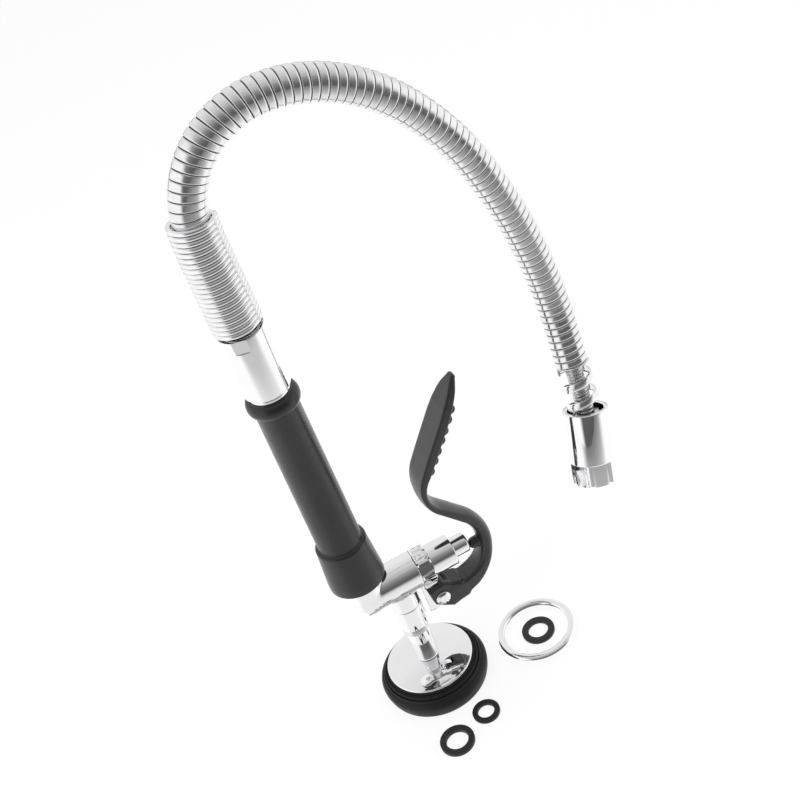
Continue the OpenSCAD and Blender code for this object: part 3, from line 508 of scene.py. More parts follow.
def strip_section(width, thick):
    """Cross-section of the opened strip: a shallow channel with both edges turned in."""
    half, n = width / 2, 8
    outside = [(half * (2 * k / n - 1), 0.35 * thick * (1 - (2 * k / n - 1) ** 4)) for k in range(n + 1)]
    lip = 1.5 * thick
    return (
        [(along, out) for along, out in outside]
        + [(half, -lip), (half - 0.3 * thick, -lip), (half - 0.35 * thick, -0.7 * thick)]
        + [(-half + 0.35 * thick, -0.7 * thick), (-half + 0.3 * thick, -lip), (-half, -lip)]
    )


def add_opened_strip():
    """The last turns of the strip, opened out above the coupling."""
    steps = OPENED_STEPS * OPENED_TURNS
    rings = []
    for k in range(round(steps) + 1):
        s = sheath_s1 + STRIP_WIDTH / 2 + 0.4 + k * OPENED_LENGTH / steps
        out = hose.out(s, 2 * math.pi * k / OPENED_STEPS)
        centre = hose.point(s) + (SHEATH_R - 0.55) * out
        rings.append([centre + along * hose.ahead(s) + up * out for along, up in strip_section(STRIP_WIDTH, STRIP_T)])
    piece = tube_between("opened_strip", rings, HOSE_STEEL)
    return stand_for(piece, "sheath_tail")


def add_liner():
    """Ribbed inner hose, seen through the opened strip."""
    pitch, sides, bore_r, bore_steps = 2.2, 36, 3.7, 60
    rib = ((0.0, 4.7), (0.2, 4.95), (0.5, 5.0), (0.8, 4.95))
    count = int((rim_s + LINER_PAST_RIM - liner_s0) / pitch)

    def ring(s, radius):
        return [round_hose(s, 2 * math.pi * i / sides, radius) for i in range(sides)]

    rings = [ring(liner_s0 + (k + share) * pitch, radius) for k in range(count) for share, radius in rib]
    bore_long = (count - 0.2) * pitch
    rings += [ring(liner_s0 + k * bore_long / bore_steps, bore_r) for k in range(bore_steps, -1, -1)]
    piece = tube_between("inner_hose", rings + [rings[0]], LINER, closed_ends=False)
    return stand_for(piece, "hose_liner")


sheath = add_sheath()
opened_strip = add_opened_strip()
liner = add_liner()
[[c * MM for c in hose.point(sheath_s0 + k * (sheath_s1 - sheath_s0) / 90)] for k in range(91)]


# ---------------------------------------------------------------- spring guard round the hose's root
def add_guard():
    """Coil spring that keeps the hose from kinking where it leaves the ferrule."""
    wire_r, foot_r, mouth_r = 1.4, 14.2, 13.5
    turns, pitch, steps, sides = 22, 3.0, 44, 16
    s0 = INSIDE_FERRULE + wire_r + 0.3

    def centre(k):
        f = k / (turns * steps)
        radius = foot_r + (mouth_r - foot_r) * f - wire_r
        return round_hose(s0 + k * pitch / steps, 2 * math.pi * k / steps, radius)

    rings = []
    for k in range(turns * steps + 1):
        out = hose.out(s0 + k * pitch / steps, 2 * math.pi * k / steps)
        across = out.cross(centre(k + 0.5) - centre(k - 0.5)).normalized()
        end = min(k, turns * steps - k) / 3
        r = wire_r * (1 if end >= 1 else math.sqrt(1 - (1 - end) ** 2 * 0.8))
        rings.append([
            centre(k) + r * (math.cos(2 * math.pi * i / sides) * out + math.sin(2 * math.pi * i / sides) * across)
            for i in range(sides)
        ])
    stand_for(tube_between("kink_guard", rings, SPRING_STEEL), "spring_guard")


add_guard()


# ---------------------------------------------------------------- ferrule, coupling and collar
def add_fittings():
    """The turned fittings at both ends of the hose."""
    foot = Vector((handle_x, 0, low("hose_ferrule", 2)))
    long = ferrule_top.z - foot.z
    shell_r, pipe_r, socket_r, socket_deep = 13.5, 8.1, 10.7, 22
    flats_across, flats_turn, flats_long = 25.6, -21, 8
    flat_h = long - flats_long
    outline = rounded([
        (pipe_r, 0), (shell_r, 0, 0.9), (shell_r, flat_h - 0.02), (shell_r, flat_h), (shell_r, long, 0.5),
        (socket_r, long, 0.4), (socket_r, long - socket_deep), (pipe_r, long - socket_deep),
    ])
    ferrule = turned(
        "ferrule_shell", outline, FITTING_CHROME, foot, segments=216,
        limit=flats(2, flats_across, flats_turn), limit_h=(flat_h - 0.01, ENDLESS), sharp_deg=18,
    )
    stand_for(ferrule, "hose_ferrule")

    sleeve, hexed, mouth = 31.5, 14, 13
    sleeve_r, corner_r, bore_r, tail_r = 13.7, 13.81, 8.9, 5.6
    thread_r, thread_deep, thread_half_pitch, thread_points = 9.3, 0.55, 0.9, 13
    hex_across, hex_turn = 23.9, 51.5
    socket_floor, bore_floor = -12, -27.8
    total = sleeve + hexed
    thread = [(thread_r - thread_deep * (k % 2), -total + 1.6 + k * thread_half_pitch) for k in range(thread_points)]
    outline = rounded([
        (socket_r, 0, 0.5), (sleeve_r, 0, 0.7), (sleeve_r, -sleeve, 0.5), (13.3, -sleeve - 0.45),
        (corner_r, -sleeve - 0.5), (corner_r, -total + 1.2), (12.3, -total, 0.4), (9.9, -total, 0.3),
    ]) + thread
    outline += [(bore_r, -total + mouth), (bore_r, bore_floor)]
    outline += [(tail_r, bore_floor), (tail_r, socket_floor), (socket_r, socket_floor)]
    coupling = turned(
        "coupling_shell", outline, FITTING_CHROME, coupling_top, along=coupling_up,
        side=Y.cross(coupling_up).normalized(), segments=216,
        limit=flats(6, hex_across, hex_turn), limit_h=(-ENDLESS, -sleeve - 0.48), sharp_deg=18,
    )
    stand_for(coupling, "end_coupling", "coupling")

    foot = Vector((handle_x, 0, low("handle_collar", 2)))
    inner_r, outer_r, tall = 8.05, 12.15, 4.8
    outline = rounded([(inner_r, 0), (outer_r, 0), (outer_r, tall, 0.9), (inner_r, tall)])
    stand_for(turned("collar_ring", outline, FITTING_CHROME, foot), "handle_collar")


add_fittings()


# ---------------------------------------------------------------- grip
def add_grip():
    """Rubber grip with a flared skirt below and a bead at its top."""
    foot = Vector((handle_x, 0, low("grip_sleeve", 2)))
    long = high("grip_sleeve", 2) - foot.z
    bead = long - 5.6
    bead_centre_r, bead_out, bead_half = 12.4, 3.1, 4.8
    boss_r, boss_deep, tube_r, neck_r, collar_r, collar_deep = 12.7, 5.1, 8.1, 12.75, 12.25, 2.7
    outline = rounded([
        (boss_r, 0, 0.3), (17.4, 0, 1.2), (17.3, 6, 4), (15.8, 27.5, 8), (15.6, 32, 2.6), (13.5, 32.9, 0.9),
        (neck_r, bead - 5.4),
    ])
    arc = [math.radians(a) for a in range(-80, 81, 8)]
    outline += [(bead_centre_r + bead_out * math.cos(a), bead + bead_half * math.sin(a)) for a in arc]
    outline += rounded([
        (neck_r, long, 0.3), (collar_r, long, 0.2), (collar_r, long - collar_deep), (tube_r, long - collar_deep),
        (tube_r, boss_deep), (boss_r, boss_deep),
    ])
    stand_for(turned("grip_skin", outline, GRIP_RUBBER, foot, sharp_deg=50), "grip_sleeve")


add_grip()


# ---------------------------------------------------------------- cast and moulded forms, from distance fields
def rim(past_a, past_b, rounding):
    """Distance to a rounded rim, from how far a place lies past the two faces that meet there."""
    outside = np.hypot(np.maximum(past_a, 0), np.maximum(past_b, 0))
    return outside + np.minimum(np.maximum(past_a, past_b), 0) - rounding


def box_2d(a, b, half_a, half_b, rounding):
    """Distance to a rounded rectangle."""
    return rim(np.abs(a) - half_a + rounding, np.abs(b) - half_b + rounding, rounding)


def rod(across_a, across_b, along, radius, start, end, rounding=0.4):
    """Distance to a round bar between two stations, with rounded rims."""
    return box_2d(np.hypot(across_a, across_b), along - (start + end) / 2, radius, (end - start) / 2, rounding)


def polygon_2d(x, z, corners):
    """Signed distance to a closed outline in the XZ plane."""
    best, inside = np.full(x.shape, ENDLESS), np.zeros(x.shape, bool)
    for (ax, az), (bx, bz) in zip(corners, corners[1:] + corners[:1]):
        ex, ez = bx - ax, bz - az
        t = np.clip(((x - ax) * ex + (z - az) * ez) / (ex * ex + ez * ez), 0, 1)
        best = np.minimum(best, np.hypot(x - ax - t * ex, z - az - t * ez))
        if ez:
            crossing = (az <= z) != (bz <= z)
            inside ^= crossing & (x < ax + (z - az) / ez * ex)
    return np.where(inside, -best, best)


def plate(outline, y, half, rounding):
    """Distance to a plate |y| < half over an outline's distance, with rounded rims."""
    return rim(outline + rounding, np.abs(y) - half + rounding, rounding)


def join(a, b, blend_r):
    """Union with a fillet of about blend_r."""
    h = np.clip(0.5 + 0.5 * (b - a) / blend_r, 0, 1)
    return b + (a - b) * h - blend_r * h * (1 - h)


def cut(a, b, blend_r=0.25):
    """What is left of a outside b, with a slightly broken edge."""
    return -join(-a, b, blend_r)


def surface_of(name, field, lowest, highest, step, made):
    """Quads over a distance field's zero surface, each point and normal taken from the field itself."""
    axes = [np.arange(lo, hi + step, step) for lo, hi in zip(lowest, highest)]
    grid = np.stack(np.meshgrid(*axes, indexing="ij"), -1)
    inside = field(grid[..., 0], grid[..., 1], grid[..., 2]) < 0
    cells = np.zeros([n - 1 for n in inside.shape], int)
    for i in (0, 1):
        for j in (0, 1):
            for k in (0, 1):
                cells += inside[i : inside.shape[0] - 1 + i, j : inside.shape[1] - 1 + j, k : inside.shape[2] - 1 + k]
    mixed = (cells > 0) & (cells < 8)
    number = -np.ones(mixed.shape, int)
    number[mixed] = np.arange(mixed.sum())
    points = grid[:-1, :-1, :-1][mixed] + step / 2

    faces = []
    for axis in range(3):
        a, b = (axis + 1) % 3, (axis + 2) % 3
        here, there = [slice(None)] * 3, [slice(None)] * 3
        here[axis], there[axis] = slice(0, -1), slice(1, None)
        crossing = inside[tuple(here)] != inside[tuple(there)]
        for p in np.argwhere(crossing):
            if p[a] < 1 or p[b] < 1:
                continue
            corner = []
            for da, db in ((1, 1), (0, 1), (0, 0), (1, 0)):
                q = p.copy()
                q[a] -= da
                q[b] -= db
                corner.append(int(number[tuple(q)]))
            faces.append(corner if inside[tuple(p)] else corner[::-1])

    def slope(p):
        e = 0.02
        rows = []
        for axis in range(3):
            d = np.zeros(3)
            d[axis] = e
            rows.append((field(*(p + d).T) - field(*(p - d).T)) / (2 * e))
        rise = np.stack(rows, -1)
        return rise / np.maximum(np.linalg.norm(rise, axis=1, keepdims=True), 1e-6)

    for _ in range(6):
        away = field(*points.T)
        points = points - slope(points) * np.clip(away, -step / 2, step / 2)[:, None]
    normals = slope(points)
    data = bpy.data.meshes.new(name)
    data.from_pydata([tuple(p) for p in points * MM], [], faces)
    data.polygons.foreach_set("use_smooth", [True] * len(data.polygons))
    data.normals_split_custom_set_from_vertices([tuple(n) for n in normals])
    data.materials.append(made)
    return add_object(name, data)


# ---------------------------------------------------------------- valve body
BARREL_R, BARREL_END = 12.15, 14.4
BOSS_R, BOSS_DOME_R, BOSS_DROP = 12.6, 10.5, 11.35
OUTLET_R, LUG_HALF, PIN_HOLE_R = 10, 3, 2.5


def valve_field(x, y, z):
    """Barrel, handle boss, outlet boss and lug of the cast valve body, with its bores."""
    outlet_z = high("neck_collar", 2)
    boss_top = high("valve_body", 2)
    dome_z = barrel_z - BOSS_DROP + BOSS_DOME_R
    around = np.hypot(x - handle_x, y)
    barrel = rod(y, z - barrel_z, x, BARREL_R, handle_x, BARREL_END, 0.5)
    lower = np.hypot(np.maximum(around - (BOSS_R - BOSS_DOME_R), 0), np.minimum(z - dome_z, 0)) - BOSS_DOME_R
    boss = np.maximum(np.where(z < dome_z, lower, around - BOSS_R), z - boss_top)
    outlet = rod(x, y, z, OUTLET_R, outlet_z, barrel_z, 0.5)
    px, pz = pivot.x, pivot.z
    lug = polygon_2d(
        x, z,
        [
            (px - 9.5, pz - 10), (px - 6, pz - 10.4), (px + 5.5, pz - 6), (px + 7.7, pz - 2.5), (px + 7.9, pz + 1.5),
            (px + 5.6, pz + 7.3), (14.5, pz + 8.4), (14.5, barrel_z - 9), (px - 9.5, barrel_z - 9),
        ],
    ) - 0.3
    solid = join(barrel, boss, 1.2)
    solid = join(solid, outlet, 1.6)
    solid = join(solid, plate(lug, y, LUG_HALF, 0.5), 1.0)
    for bore in (
        rod(y, z - barrel_z, x, 8.3, handle_x - 5.5, 0),
        rod(y, z - barrel_z, x, 9.2, -5, 20),
        rod(x - handle_x, y, z, 8.1, barrel_z + 9, boss_top + 5),
        rod(x - handle_x, y, z, 6, barrel_z, boss_top + 5),
        rod(x, y, z, 5.2, outlet_z - 5, barrel_z),
        rod(x - px, z - pz, y, PIN_HOLE_R, -8, 8),
    ):
        solid = cut(solid, bore)
    return solid


def add_valve_body():
    """Cast valve body, meshed from its distance field."""
    piece = surface_of(
        "valve_casting", valve_field, (handle_x - 13.5, -13.5, pivot.z - 11.5), (31, 13.5, high("valve_body", 2) + 0.5),
        0.5, CHROME,
    )
    stand_for(piece, "valve_body")


add_valve_body()


# ---------------------------------------------------------------- lever
LEVER_CORNERS = [(9, -2.6, 0), (32, -3, 25.7), (41.9, 33.9, 31), (6.4, 76.8, 24), (54, 143.2, 0)]
LEVER_T = [
    (0, 13), (0.06, 10), (0.13, 8.2), (0.2, 7.8), (0.29, 7.6), (0.37, 6.6), (0.48, 5), (0.6, 4.6), (0.72, 5.8),
    (0.9, 6), (0.97, 4.8), (1, 3.6),
]
LEVER_W = [
    (0, 15), (0.36, 15), (0.5, 17.5), (0.6, 19.5), (0.66, 20), (0.86, 20), (0.905, 18.2), (0.94, 15.6),
    (0.967, 12.4), (0.986, 9.4), (1, 6.6),
]
RIB_COUNT, RIB_PITCH, RIB_R, RIB_START, RIB_H = 7, 6.8, 3.2, 0.66, 2.8
PAD_R, PAD_DROP = 3.6, 4.5
SLOT_R, SLOT_HALF, CHEEK_HALF = 10, 3.3, 7.6


def bent_line(corners, steps=14):
    """Polyline through corners (x, z, bend radius), with round bends."""
    line = [Vector(corners[0][:2])]
    for i in range(1, len(corners) - 1):
        b = Vector(corners[i][:2])
        u, v = (Vector(corners[i - 1][:2]) - b).normalized(), (Vector(corners[i + 1][:2]) - b).normalized()
        half = u.angle(v) / 2
        centre = b + (u + v).normalized() * (corners[i][2] / math.sin(half))
        start, end = b + u * corners[i][2] / math.tan(half) - centre, b + v * corners[i][2] / math.tan(half) - centre
        turn = start.angle_signed(end)
        for k in range(steps + 1):
            cos_a, sin_a = math.cos(-turn * k / steps), math.sin(-turn * k / steps)
            arm = Vector((start.x * cos_a - start.y * sin_a, start.x * sin_a + start.y * cos_a))
            line.append(centre + arm)
    return line + [Vector(corners[-1][:2])]


def dense(line, step):
    """The polyline's points at an even step, with their running lengths."""
    out, lengths, s = [], [], 0.0
    for a, b in zip(line, line[1:]):
        n = max(1, int((b - a).length / step))
        for k in range(n):
            out.append(a.lerp(b, k / n))
            lengths.append(s + (b - a).length * k / n)
        s += (b - a).length
    return np.array([tuple(p) for p in out + [line[-1]]]), np.array(lengths + [s])


lever_line, lever_s = dense(bent_line(LEVER_CORNERS), 0.8)
lever_long = lever_s[-1]


def lever_station(x, z):
    """Share of the lever's length, and offset outward from its centreline, of points in the XZ plane."""
    flat_x, flat_z = np.ravel(x) - pivot.x, np.ravel(z) - pivot.z
    a, b = lever_line[:-1], lever_line[1:]
    edge = b - a
    long2 = (edge**2).sum(1)
    best = np.full(flat_x.shape, ENDLESS)
    share, out = np.zeros(flat_x.shape), np.zeros(flat_x.shape)
    for i in range(len(a)):
        t = np.clip(((flat_x - a[i, 0]) * edge[i, 0] + (flat_z - a[i, 1]) * edge[i, 1]) / long2[i], 0, 1)
        dx, dz = flat_x - a[i, 0] - t * edge[i, 0], flat_z - a[i, 1] - t * edge[i, 1]
        away = np.hypot(dx, dz)
        near = away < best
        side = np.sign(dx * edge[i, 1] - dz * edge[i, 0])
        best = np.where(near, away, best)
        out = np.where(near, away * side, out)
        share = np.where(near, (lever_s[i] + t * (lever_s[i + 1] - lever_s[i])) / lever_long, share)
    return share.reshape(x.shape), out.reshape(x.shape)


def lever_field(x, y, z):
    """Hooked squeeze lever: forked foot, rounded arm, ribbed paddle and the pad that meets the plunger."""
    if x.ndim == 3:
        share, out = lever_station(x[:, 0, :], z[:, 0, :])
        share, out = share[:, None, :], out[:, None, :]
    else:
        share, out = lever_station(x, z)
    thick = np.interp(share, *zip(*LEVER_T))
    wide = np.interp(share, *zip(*LEVER_W))
    crowned = np.interp(share, (0.08, 0.2, 0.58, 0.66), (0, 1, 1, 0))
    thick = thick * (1 + crowned * (0.12 - 0.5 * np.minimum(2 * y / wide, 1) ** 2))
    rounding = thick * (np.interp(share, (0.96, 1), (0.2, 0.48)) + 0.27 * crowned)
    solid = box_2d(out, y, thick / 2, wide / 2, rounding)
    for k in range(RIB_COUNT):
        s = RIB_START * lever_long + (k + 0.5) * RIB_PITCH
        i = np.searchsorted(lever_s, s)
        ahead = lever_line[i] - lever_line[i - 1]
        ahead /= np.hypot(*ahead)
        rise = np.interp(s / lever_long, *zip(*LEVER_T)) / 2 - RIB_R + RIB_H
        cx, cz = lever_line[i][0] + ahead[1] * rise + pivot.x, lever_line[i][1] - ahead[0] * rise + pivot.z
        half = np.interp(s / lever_long, *zip(*LEVER_W)) / 2 - 2
        solid = join(solid, rod(x - cx, z - cz, y, RIB_R, -half, half, 1.4), 1.4)
    cheek = polygon_2d(
        x - pivot.x, z - pivot.z,
        [
            (-6.2, 7.2), (-3, 8.6), (3, 9.4), (7.8, 6), (14, 3.6), (16, -8), (11, -8.6), (5, -10.4), (-0.5, -6.6),
            (-4.8, -3), (-5.6, 1),
        ],
    ) - 0.9
    solid = join(solid, plate(cheek, y, CHEEK_HALF, 1.8), 3.0)
    pad_x, pad_z = high("plunger", 0) + 0.3 + PAD_R, barrel_z - PAD_DROP
    pad = np.sqrt((x - pad_x) ** 2 + y**2 + (z - pad_z) ** 2) - PAD_R
    solid = join(solid, np.minimum(pad, rod(y, z - pad_z, x, PAD_R, pad_x, pad_x + 7)), 0.8)
    slot = np.minimum(
        rod(x - pivot.x, z - pivot.z, y, SLOT_R, -SLOT_HALF, SLOT_HALF),
        plate(np.maximum(x - pivot.x, pivot.x - 20 - x), y, SLOT_HALF, 0.2),
    )
    solid = cut(solid, slot, 0.4)
    return cut(solid, rod(x - pivot.x, z - pivot.z, y, PIN_HOLE_R, -9, 9))


def add_lever():
    """Squeeze lever, meshed from its distance field a little past the CAD lever's box."""
    lowest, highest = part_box("lever")
    margin = 1.0
    piece = surface_of(
        "lever_body", lever_field, [c / MM - margin for c in lowest], [c / MM + margin for c in highest],
        0.55, LEVER_BLACK,
    )
    stand_for(piece, "lever", "lever")


add_lever()


# ---------------------------------------------------------------- bonnet, cap, plunger and lever pin
def along_barrel(name, outline, made, x, node, slot, body="body", **how):
    """A turned piece on the barrel's axis, its heights running along +X."""
    piece = turned(name, outline, made, Vector((x, 0, barrel_z)), along=X, side=Y, **how)
    return stand_for(piece, node, body)


def add_bonnet():
    """Eight-sided bonnet, its cap and the plunger that the lever's pad pushes in."""
    x0, x1 = 7.5, low("bonnet_cap", 0)
    hex_at, nose = 14.5 - x0, x1 - x0
    across = high("bonnet", 1) - low("bonnet", 1)
    outline = rounded([
        (2.6, 0), (9.1, 0, 0.4), (9.1, hex_at), (12.4, hex_at, 0.3), (13.3, hex_at + 0.9), (13.3, nose - 0.9),
        (12.3, nose - 0.05, 0.2), (8.3, nose), (8.3, nose + 3.6), (5.7, nose + 3.6), (5.7, 5.6), (2.6, 5.6),
    ])
    along_barrel(
        "bonnet_shell", outline, CHROME, x0, "bonnet", "chrome_valve", segments=240,
        limit=flats(8, across), limit_h=(hex_at + 0.01, nose + 0.01), sharp_deg=16,
    )
    long = high("bonnet_cap", 0) - x1
    cap = rounded([
        (8.4, 0), (10.1, 0, 0.4), (10.1, long, 0.9), (6.65, long, 0.3), (6.65, long - 2.5), (8.4, long - 2.5),
    ])
    along_barrel("cap_shell", cap, CHROME, x1, "bonnet_cap", "chrome_valve")
    x0, x1 = low("plunger", 0), high("plunger", 0)
    long = x1 - x0
    outline = rounded(
        [(0, 7.2), (2.55, 7.2), (2.55, 0), (8.1, 0, 0.3), (8.1, 2.4), (6.5, 2.4), (6.5, long, 1.6), (0, long)]
    )
    along_barrel("plunger_rod", outline, CHROME, x0, "plunger", "chrome_valve", "plunger")


add_bonnet()


def add_lever_pin():
    """Shoulder screw with a shallow domed head, and its nut on the far side."""
    edge, head_h, head_r, shank_r, shank_end = 7.7, 1.8, 4.7, 2.4, 9.9
    outline = rounded([
        (0, -edge - head_h), (2.6, -edge - 1.7, 2), (head_r, -edge - 0.7, 0.5), (head_r, -edge, 0.2),
        (shank_r, -edge),
    ])
    outline += [(shank_r, shank_end), (0, shank_end)]
    pin = turned("pivot_screw", outline, CHROME, pivot, along=Y, side=X, segments=72)
    stand_for(pin, "lever_pin")
    nut_h, nut_r, nut_bore_r, nut_across = 2.6, 4.85, 2.45, 8.4
    outline = rounded(
        [(nut_bore_r, edge), (nut_r, edge, 0.3), (nut_r, edge + nut_h, 0.4), (nut_bore_r, edge + nut_h)]
    )
    nut = turned(
        "pivot_nut", outline, CHROME, pivot, along=Y, side=X, segments=96, limit=flats(6, nut_across), sharp_deg=16
    )
    stand_for(nut, "pin_nut")


add_lever_pin()


# ---------------------------------------------------------------- neck, dish and bumper
FLOOR_CENTRE = Vector((0, 0, 0))


def add_spray_head():
    """Union collar, neck tube, domed dish and the rubber bumper round it."""
    collar_z, outlet_z = low("neck_collar", 2), high("neck_collar", 2)
    collar = rounded([
        (7.65, collar_z), (8.4, collar_z, 0.3), (9.9, collar_z + 6, 1.2), (9.9, outlet_z, 0.6), (8.3, outlet_z),
        (8.3, collar_z + 6.2), (7.65, collar_z + 6.2),
    ])
    stand_for(turned("union_collar", collar, CHROME, FLOOR_CENTRE), "neck_collar")
    neck_foot, neck_top = low("spray_neck", 2), high("spray_neck", 2)
    neck = rounded([
        (1.95, neck_foot), (6.7, neck_foot, 0.2), (6.7, crown_z), (7.9, crown_z, 0.2), (7.5, crown_z + 0.9, 0.4),
        (7.5, neck_top - 2.4), (8.2, neck_top - 2.4), (8.2, neck_top), (4.8, neck_top), (4.8, neck_foot + 4),
        (1.95, neck_foot + 4),
    ])
    stand_for(turned("neck_tube", neck, CHROME, FLOOR_CENTRE), "spray_neck")

    rim_z = bumper_h + 0.8
    skirt_z = low("spray_dish", 2)
    crown = crown_z - rim_z
    sphere_r = (dish_r**2 + crown**2) / (2 * crown)
    dome = [
        (r, crown_z - sphere_r + math.sqrt(sphere_r**2 - r**2)) for r in [dish_r * k / 40 for k in range(38, 9, -1)]
    ]
    shell = 1.2
    outline = [(dish_r - shell, skirt_z), (dish_r, skirt_z)]
    outline += rounded([(dish_r, skirt_z), (dish_r, rim_z + 0.1, 1.5), dome[0]], 9)[1:-1]
    outline += dome + [(6.8, crown_z)]
    outline += [(6.8, crown_z - shell)] + [(r, z - shell) for r, z in dome[::-4]] + [(dish_r - shell, rim_z - shell)]
    stand_for(turned("dish_dome", outline, DISH_CHROME, FLOOR_CENTRE, segments=256), "spray_dish")

    inner = dish_r + 0.1
    wall = bumper_r - inner
    # Shares of the wall inward and of the height, and the fillet there
    outside = [
        (0.42, 0, 0.5), (0.26, 0.06, 1), (0.12, 0.2, 3), (0.03, 0.36, 4), (0, 0.5, 3), (0.09, 0.6, 1.5),
        (0.235, 0.68, 0.5), (0.35, 0.68, 0.4), (0.43, 0.77, 0.5), (0.53, 0.78, 0.4), (0.6, 0.73, 0.3),
        (0.63, 0.87, 0.5), (0.735, 0.89, 0.5), (0.825, 0.85, 0.3), (0.925, 0.87, 0.2), (0.94, 1, 0.15), (1, 1),
    ]
    profile = [(dish_r - 3, 0.6), (dish_r - 2.4, 0, 0.3)]
    profile += [(bumper_r - wall * share, bumper_h * height, *fillet) for share, height, *fillet in outside]
    profile += [(inner, 4), (dish_r - 3, 3.9)]
    skin = turned("bumper_skin", rounded(profile, 4), BUMPER_RUBBER, FLOOR_CENTRE, segments=240, sharp_deg=50)
    stand_for(skin, "bumper")


add_spray_head()


# ---------------------------------------------------------------- loose ring and washers
def add_loose_pieces():
    """The chrome ring and the three rubber washers that lie on the floor."""
    ring_at = Vector((mid("hold_down_ring", 0), mid("hold_down_ring", 1), 0))
    wire_r = high("hold_down_ring", 2) / 2
    ring_r = high("hold_down_ring", 0) - ring_at.x - wire_r
    circle = [math.radians(a) for a in range(0, 360, 12)]
    outline = [(ring_r + wire_r * math.cos(a), wire_r + wire_r * math.sin(a)) for a in circle]
    stand_for(turned("fixing_ring", outline, RING_CHROME, ring_at, segments=180), "hold_down_ring")
    for node, bore in (("washer_small", 5.3), ("washer_middle", 6.55), ("washer_large", 7.15)):
        at = Vector((mid(node, 0), mid(node, 1), 0))
        r, t = (high(node, 0) - low(node, 0)) / 2, high(node, 2)
        outline = rounded([(bore, 0, 0.35), (r, 0, 0.5), (r, t, 0.5), (bore, t, 0.35)])
        stand_for(turned(node + "_disc", outline, SEAL_RUBBER, at), node)


add_loose_pieces()

# ---------------------------------------------------------------- materials of the CAD pieces that stay as they are
STAYING = {
    BRASS: ["valve_seat", "disc_screw", "neck_locknut", "hose_barb", "hose_tail"],
    INNER_STEEL: ["valve_stem", "handle_tube", "spray_plate", "face_screw", "return_spring"],
    SEAL_RUBBER: [
        "seat_disc", "outlet_washer", "dish_gasket", "handle_seal", "ferrule_washer", "coupling_washer",
    ],
    FIBRE: ["stem_packing", "bonnet_gasket"],
}
for made, nodes in STAYING.items():
    for node in nodes:
        slots = frame["nodes"][node].material_slots
        for place in slots:
            place.material = made
        if not slots:
            frame["nodes"][node].data.materials.append(made)


# ---------------------------------------------------------------- floor, world and lamps
TO_CAMERA = Vector((CAMERA_AT[0], CAMERA_AT[1], 0)).normalized()
TO_SIDE = TO_CAMERA.cross(Z)
# What metal sees between the two white sides of the studio. Up and over, by the share of the way from the front horizon
# to the back one, and along the floor, by the share of FLOOR_REACH metres from the object towards the front
OVERHEAD = (
    (0, 0.11), (0.07, 0.14), (0.14, 0.2), (0.21, 0.3), (0.33, 0.54), (0.46, 0.7), (0.6, 0.82), (0.72, 0.9), (1, 0.92)
)
FLOOR_AHEAD = ((0, 0.95), (0.12, 0.82), (0.21, 0.55), (0.32, 0.38), (0.5, 0.26), (1, 0.18))
FLOOR_HALF, FLOOR_GAP, FLOOR_REACH, FRONT_STARTS = 4.0, 0.0002, 2, 0.02
# The white sides start and are full at these slants from the front; the world's are shifted to one side
FLOOR_SIDES, WORLD_SIDES, SIDE_SHIFT = (0.8, 1.6), (0.68, 0.84), 0.06
WHITE_SIDES, FLOOR_SEEN, AMBIENT = 1.12, 0.86, 0.75
LIT_POINT = (0.05, 0, 0.2)


def levels(tree, source, stops):
    """Brightness by a source from 0 to 1, smoothly through (place, level) stops."""
    ramp = tree.nodes.new("ShaderNodeValToRGB")
    ramp.color_ramp.interpolation = "EASE"
    for place, _ in stops[1:-1]:
        ramp.color_ramp.elements.new(place)
    for stop, (_, level) in zip(ramp.color_ramp.elements, stops):
        stop.color = (level, level, level, 1)
    tree.links.new(source, ramp.inputs["Fac"])
    return ramp.outputs["Color"]


def two_values(tree, operation, first, second):
    """A sum on two values, each a socket or a number."""
    node = tree.nodes.new("ShaderNodeMath")
    node.operation = operation
    for place, value in enumerate((first, second)):
        if isinstance(value, bpy.types.NodeSocket):
            tree.links.new(value, node.inputs[place])
        else:
            node.inputs[place].default_value = value
    return node.outputs[0]


def dotted(tree, vector, fixed):
    """Dot product of a vector socket with a fixed vector."""
    node = tree.nodes.new("ShaderNodeVectorMath")
    node.operation = "DOT_PRODUCT"
    node.inputs[1].default_value = fixed
    tree.links.new(vector, node.inputs[0])
    return node.outputs["Value"]


def mix_shaders(tree, factor, first, second):
    """A shader from first to second, all sockets, by a factor socket."""
    node = tree.nodes.new("ShaderNodeMixShader")
    for source, socket in zip((factor, first, second), node.inputs):
        tree.links.new(source, socket)
    return node.outputs[0]


def background(tree, strength):
    """A white world background, whose colour can be wired."""
    node = tree.nodes.new("ShaderNodeBackground")
    node.inputs["Color"].default_value = (1, 1, 1, 1)
    node.inputs["Strength"].default_value = strength
    return node


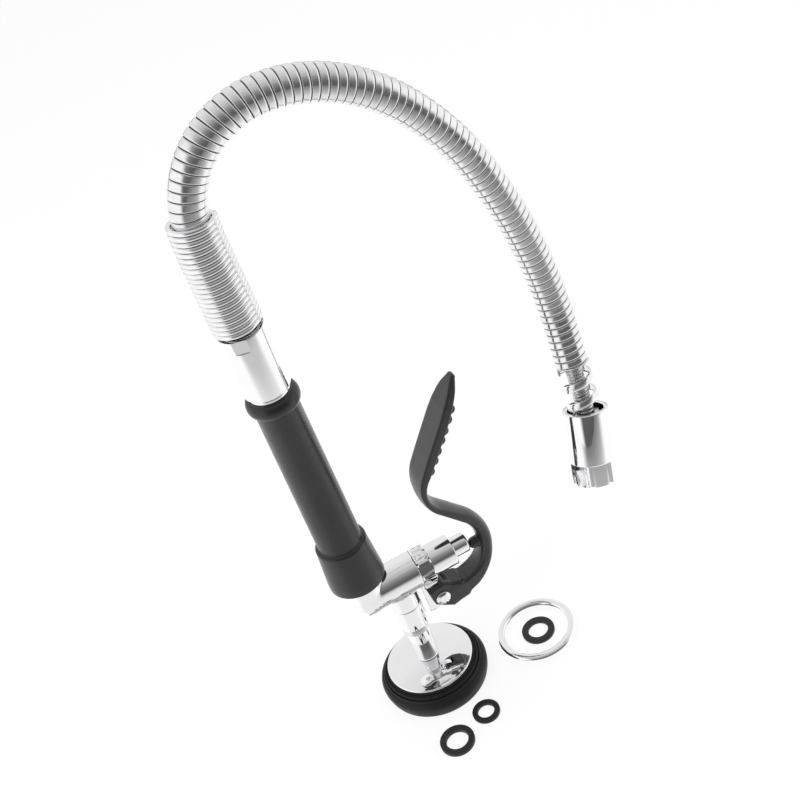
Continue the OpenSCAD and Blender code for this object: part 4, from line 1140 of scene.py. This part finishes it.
def add_floor():
    """Plain pale floor: it keeps the object's shadow, faintly, and shows white to the camera and, nearby, to metal."""
    data = bpy.data.meshes.new("floor")
    corners = [(x * FLOOR_HALF, y * FLOOR_HALF, 0) for x, y in ((-1, -1), (1, -1), (1, 1), (-1, 1))]
    data.from_pydata(corners, [], [(0, 1, 2, 3)])
    floor = add_object("floor", data)
    floor.location.z = -FLOOR_GAP
    made, tree, shader = material("pale floor", (0.9, 0.9, 0.9), roughness=0.9)
    rays = tree.nodes.new("ShaderNodeLightPath")
    place = tree.nodes.new("ShaderNodeTexCoord").outputs["Object"]
    ahead = dotted(tree, place, TO_CAMERA)
    slant = two_values(tree, "DIVIDE", two_values(tree, "ABSOLUTE", dotted(tree, place, TO_SIDE), 0), ahead)
    in_front = two_values(tree, "GREATER_THAN", ahead, FRONT_STARTS)
    front = two_values(tree, "MULTIPLY", in_front, spread_to(tree, slant, 1, 0, *FLOOR_SIDES))
    level = levels(tree, two_values(tree, "DIVIDE", ahead, FLOOR_REACH), FLOOR_AHEAD)
    darker = two_values(tree, "MULTIPLY", front, two_values(tree, "SUBTRACT", WHITE_SIDES, level))
    mirrored = two_values(tree, "SUBTRACT", WHITE_SIDES - 1, darker)
    to_metal = two_values(tree, "MULTIPLY", mirrored, rays.outputs["Is Glossy Ray"])
    glow = tree.nodes.new("ShaderNodeEmission")
    tree.links.new(two_values(tree, "ADD", 1, to_metal), glow.inputs["Strength"])
    seen = two_values(tree, "MAXIMUM", rays.outputs["Is Camera Ray"], rays.outputs["Is Glossy Ray"])
    shown = mix_shaders(tree, two_values(tree, "MULTIPLY", seen, FLOOR_SEEN), shader.outputs[0], glow.outputs[0])
    tree.links.new(shown, tree.nodes["Material Output"].inputs["Surface"])
    made.cycles.emission_sampling = "NONE"
    data.materials.append(made)


def add_world():
    """White to the camera; to metal, a white studio with a dark side in front, low over the horizon."""
    world = bpy.data.worlds.new("studio")
    bpy.context.scene.world = world
    world.use_nodes = True
    tree = world.node_tree
    tree.nodes.clear()
    out = tree.nodes.new("ShaderNodeOutputWorld")
    rays = tree.nodes.new("ShaderNodeLightPath")
    direction = tree.nodes.new("ShaderNodeTexCoord").outputs["Generated"]
    turn = two_values(tree, "ARCTAN2", dotted(tree, direction, Z), dotted(tree, direction, TO_CAMERA))
    overhead = levels(tree, two_values(tree, "DIVIDE", turn, math.pi), OVERHEAD)
    beside = two_values(tree, "ABSOLUTE", two_values(tree, "ADD", dotted(tree, direction, TO_SIDE), SIDE_SHIFT), 0)
    between_sides = spread_to(tree, beside, 1, 0, *WORLD_SIDES)
    seen, ambient, mirrored = background(tree, 1), background(tree, AMBIENT), background(tree, 1)
    tree.links.new(mix_colors(tree, between_sides, [WHITE_SIDES] * 3, overhead), mirrored.inputs["Color"])
    unseen = mix_shaders(tree, rays.outputs["Is Glossy Ray"], ambient.outputs[0], mirrored.outputs[0])
    shown = mix_shaders(tree, rays.outputs["Is Camera Ray"], unseen, seen.outputs[0])
    tree.links.new(shown, out.inputs["Surface"])
    world.cycles.sampling_method = "NONE"


def add_lamp(name, at, size, power):
    """A soft area lamp aimed at the object."""
    data = bpy.data.lights.new(name, "AREA")
    data.shape = "RECTANGLE"
    data.size, data.size_y = size
    data.energy = power
    lamp = add_object(name, data)
    lamp.location = at
    lamp.rotation_euler = (Vector(LIT_POINT) - Vector(at)).to_track_quat("-Z", "Y").to_euler()
    lamp.visible_glossy = False


add_floor()
add_world()
add_lamp("key", (-0.9, -0.6, 1.3), (0.9, 0.9), 9)
add_lamp("fill", (1.2, -0.8, 0.9), (0.8, 0.8), 4)
add_lamp("top", (0.1, 0.5, 1.6), (1.2, 0.8), 7)

bpy.context.scene.view_settings.view_transform = "Standard"
